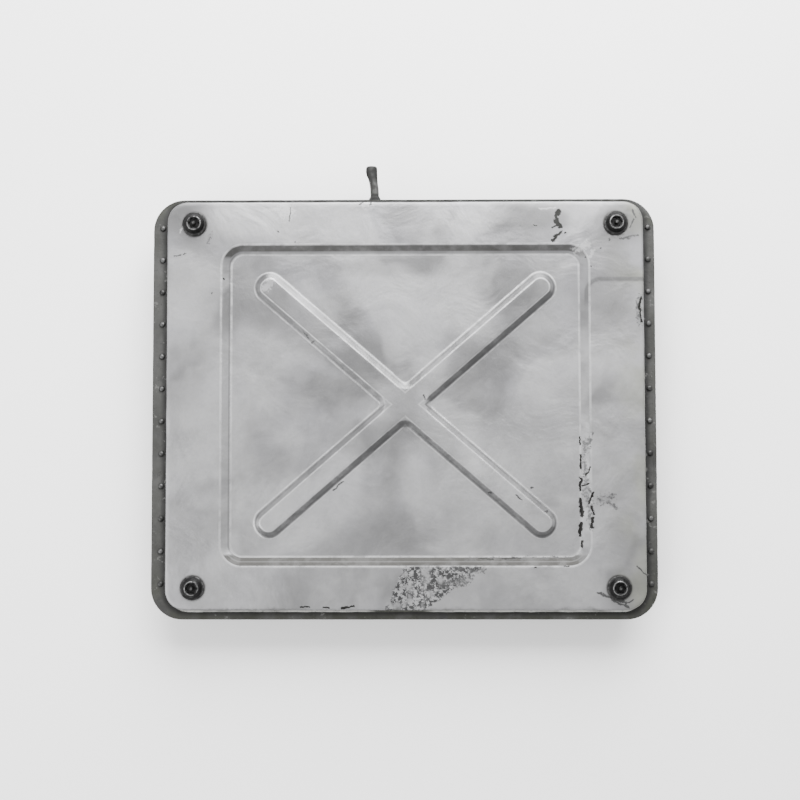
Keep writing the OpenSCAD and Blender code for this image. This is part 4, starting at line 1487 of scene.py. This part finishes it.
class ACCESS_COVER_OT_chassis(bpy.types.Operator):
    """Lays the weld beads, and finishes the rails, walls, spacers and nuts"""

    bl_idname = "access_cover.chassis"
    bl_label = "Rails, walls and welds"

    def bead(self, name, centre, low, run, radius=2.1 * MM):
        """An upright weld bead with its ripples."""
        steps = max(6, round(run / (1.7 * MM)))
        rings = [(0.55 * radius, low)]
        rings += [(radius * (1 + 0.1 * math.sin(2.2 * step)), low + run * (step + 0.5) / (steps + 1))
                  for step in range(steps)]
        rings.append((0.55 * radius, low + run))
        return turned(name, centre, rings, 12)

    def laid(self, name, centre, level, run, axis):
        """A weld bead that lies along X or Y."""
        piece = self.bead(name, centre, level - run / 2, run)
        with shaping():
            bpy.ops.mesh.select_all(action="SELECT")
            bpy.ops.transform.rotate(value=math.radians(90), orient_axis="Y" if axis == "X" else "X",
                                     center_override=(centre[0], centre[1], level))
        return piece

    def execute(self, context):
        s = context.scene.frame_settings
        inner_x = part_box("wall_rear")[1].x - 0.9 * MM
        inner_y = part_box("wall_rear")[1].y - s.plate - 0.9 * MM
        foot, under = s.plate, PLATE_LOW.z
        beads = [self.bead("bead", (inner_x, inner_y), foot, under - foot)]
        beads += [copy_to(beads[0], "bead", (x, y, 0)) for x, y in (
            (-2 * inner_x, 0), (0, -2 * inner_y), (-2 * inner_x, -2 * inner_y))]
        run = 30 * MM
        level = under - 0.9 * MM
        along_x = self.laid("bead", (0, inner_y), level, run, "X")
        beads.append(along_x)
        beads += [copy_to(along_x, "bead", (x * MM, y, 0)) for x in (-180, -90, 0, 90, 180)
                  for y in (0, -2 * inner_y) if x or y]
        along_y = self.laid("bead", (inner_x, 0), level, run, "Y")
        beads.append(along_y)
        beads += [copy_to(along_y, "bead", (x, y * MM, 0)) for y in (-85, 0, 85)
                  for x in (0, -2 * inner_x) if x or y]
        spot = SCREW_SPOTS["rear_left"]
        collar = turned("bead", spot, (
            (8.7 * MM, under + 0.3 * MM), (8.7 * MM, under - 1.6 * MM), (10 * MM, under - 1.9 * MM),
            (11.2 * MM, under - 1.2 * MM), (11.8 * MM, under + 0.3 * MM)), 40, hollow=True)
        beads.append(collar)
        beads += [copy_to(collar, "bead", SCREW_SPOTS[corner] - spot) for corner in CORNERS[1:]]
        piece = join("weld_beads", beads)
        ripple(piece, 4 * MM, 0.5 * MM, 1.0)
        deliver(piece, weld_steel(s), "frame_steel", "frame", sharp=60)
        dark = chassis_steel(s)
        zinc = zinc_steel(s)
        for name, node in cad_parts.items():
            if name.startswith(("rail", "wall")):
                self.finish(node, dark)
            elif name.startswith(("spacer", "nut")):
                self.finish(node, zinc)
        return {"FINISHED"}

    def finish(self, node, material):
        for socket in node.material_slots:
            socket.material = material


class ACCESS_COVER_OT_stage(bpy.types.Operator):
    """Lays the floor, hangs the soft lights and sets the camera"""

    bl_idname = "access_cover.stage"
    bl_label = "Stage"

    def soft_light(self, name, spot, aim, size, power):
        bpy.ops.object.light_add(type="AREA", location=spot)
        lamp = bpy.context.object
        lamp.name = name
        lamp.data.size = size
        lamp.data.energy = power
        way = Vector(aim) - Vector(spot)
        lamp.rotation_euler = way.to_track_quat("-Z", "Y").to_euler()
        lamp.visible_camera = False

    def execute(self, context):
        s = context.scene.stage_settings
        floor = start("floor", bpy.ops.mesh.primitive_plane_add, size=8,
                      location=(0, 0, CAD_BOX[0][2] - 0.2 * MM))
        floor.data.materials.append(finish_of(
            "floor", lambda w: w.mix(w.noise(w.place(), 3.0), tuple(s.floor),
                                     tuple(1.04 * part for part in s.floor)),
            lambda w: w.between(w.noise(w.place(), 20.0), 0.3, 0.7, 0.8, 0.95), 0.0))
        world = bpy.data.worlds.new("sky")
        world.use_nodes = True
        world.node_tree.nodes["Background"].inputs["Color"].default_value = (1, 1, 1, 1)
        world.node_tree.nodes["Background"].inputs["Strength"].default_value = s.sky
        context.scene.world = world
        self.soft_light("rear_light", (0.2, 1.5, 1.1), (0, 0, 0), 1.8, s.rear_light)
        self.soft_light("side_light", (-1.5, -0.7, 1.5), (0, 0, 0), 1.6, s.side_light)
        bpy.ops.object.camera_add()
        camera = bpy.context.object
        tilt = (math.radians(2.67), math.radians(0.49), math.radians(-0.1))
        camera.rotation_mode = "ZYX"
        camera.rotation_euler = tilt
        camera.data.sensor_width = 36
        camera.data.lens = s.lens
        aim = Vector((-5.4 * MM, 4.6 * MM, 58 * MM))
        back = camera.rotation_euler.to_matrix() @ Vector((0, 0, 1))
        camera.location = aim + back * s.distance
        context.scene.camera = camera
        return {"FINISHED"}


class ACCESS_COVER_PT_panel(bpy.types.Panel):
    """Lists the pieces of the access cover"""

    bl_idname = "ACCESS_COVER_PT_panel"
    bl_label = "Access cover"
    bl_space_type = "VIEW_3D"
    bl_region_type = "UI"
    bl_category = "Access cover"

    def draw(self, context):
        for step in STEPS:
            self.layout.operator(step.bl_idname)


STEPS = (
    ACCESS_COVER_OT_sheet,
    ACCESS_COVER_OT_flange,
    ACCESS_COVER_OT_rivets,
    ACCESS_COVER_OT_gasket,
    ACCESS_COVER_OT_lug,
    ACCESS_COVER_OT_washers,
    ACCESS_COVER_OT_screws,
    ACCESS_COVER_OT_chassis,
    ACCESS_COVER_OT_stage,
)
SETTINGS = {
    "sheet_settings": SheetSettings,
    "frame_settings": FrameSettings,
    "fastener_settings": FastenerSettings,
    "stage_settings": StageSettings,
}


def register():
    for name, group in SETTINGS.items():
        bpy.utils.register_class(group)
        setattr(bpy.types.Scene, name, PointerProperty(type=group))
    for step in (*STEPS, ACCESS_COVER_PT_panel):
        bpy.utils.register_class(step)


def unregister():
    for step in reversed((*STEPS, ACCESS_COVER_PT_panel)):
        bpy.utils.unregister_class(step)
    for name, group in SETTINGS.items():
        delattr(bpy.types.Scene, name)
        bpy.utils.unregister_class(group)


def main():
    register()
    for step in STEPS:
        area, name = step.bl_idname.split(".")
        getattr(getattr(bpy.ops, area), name)()


if __name__ == "__main__":
    main()
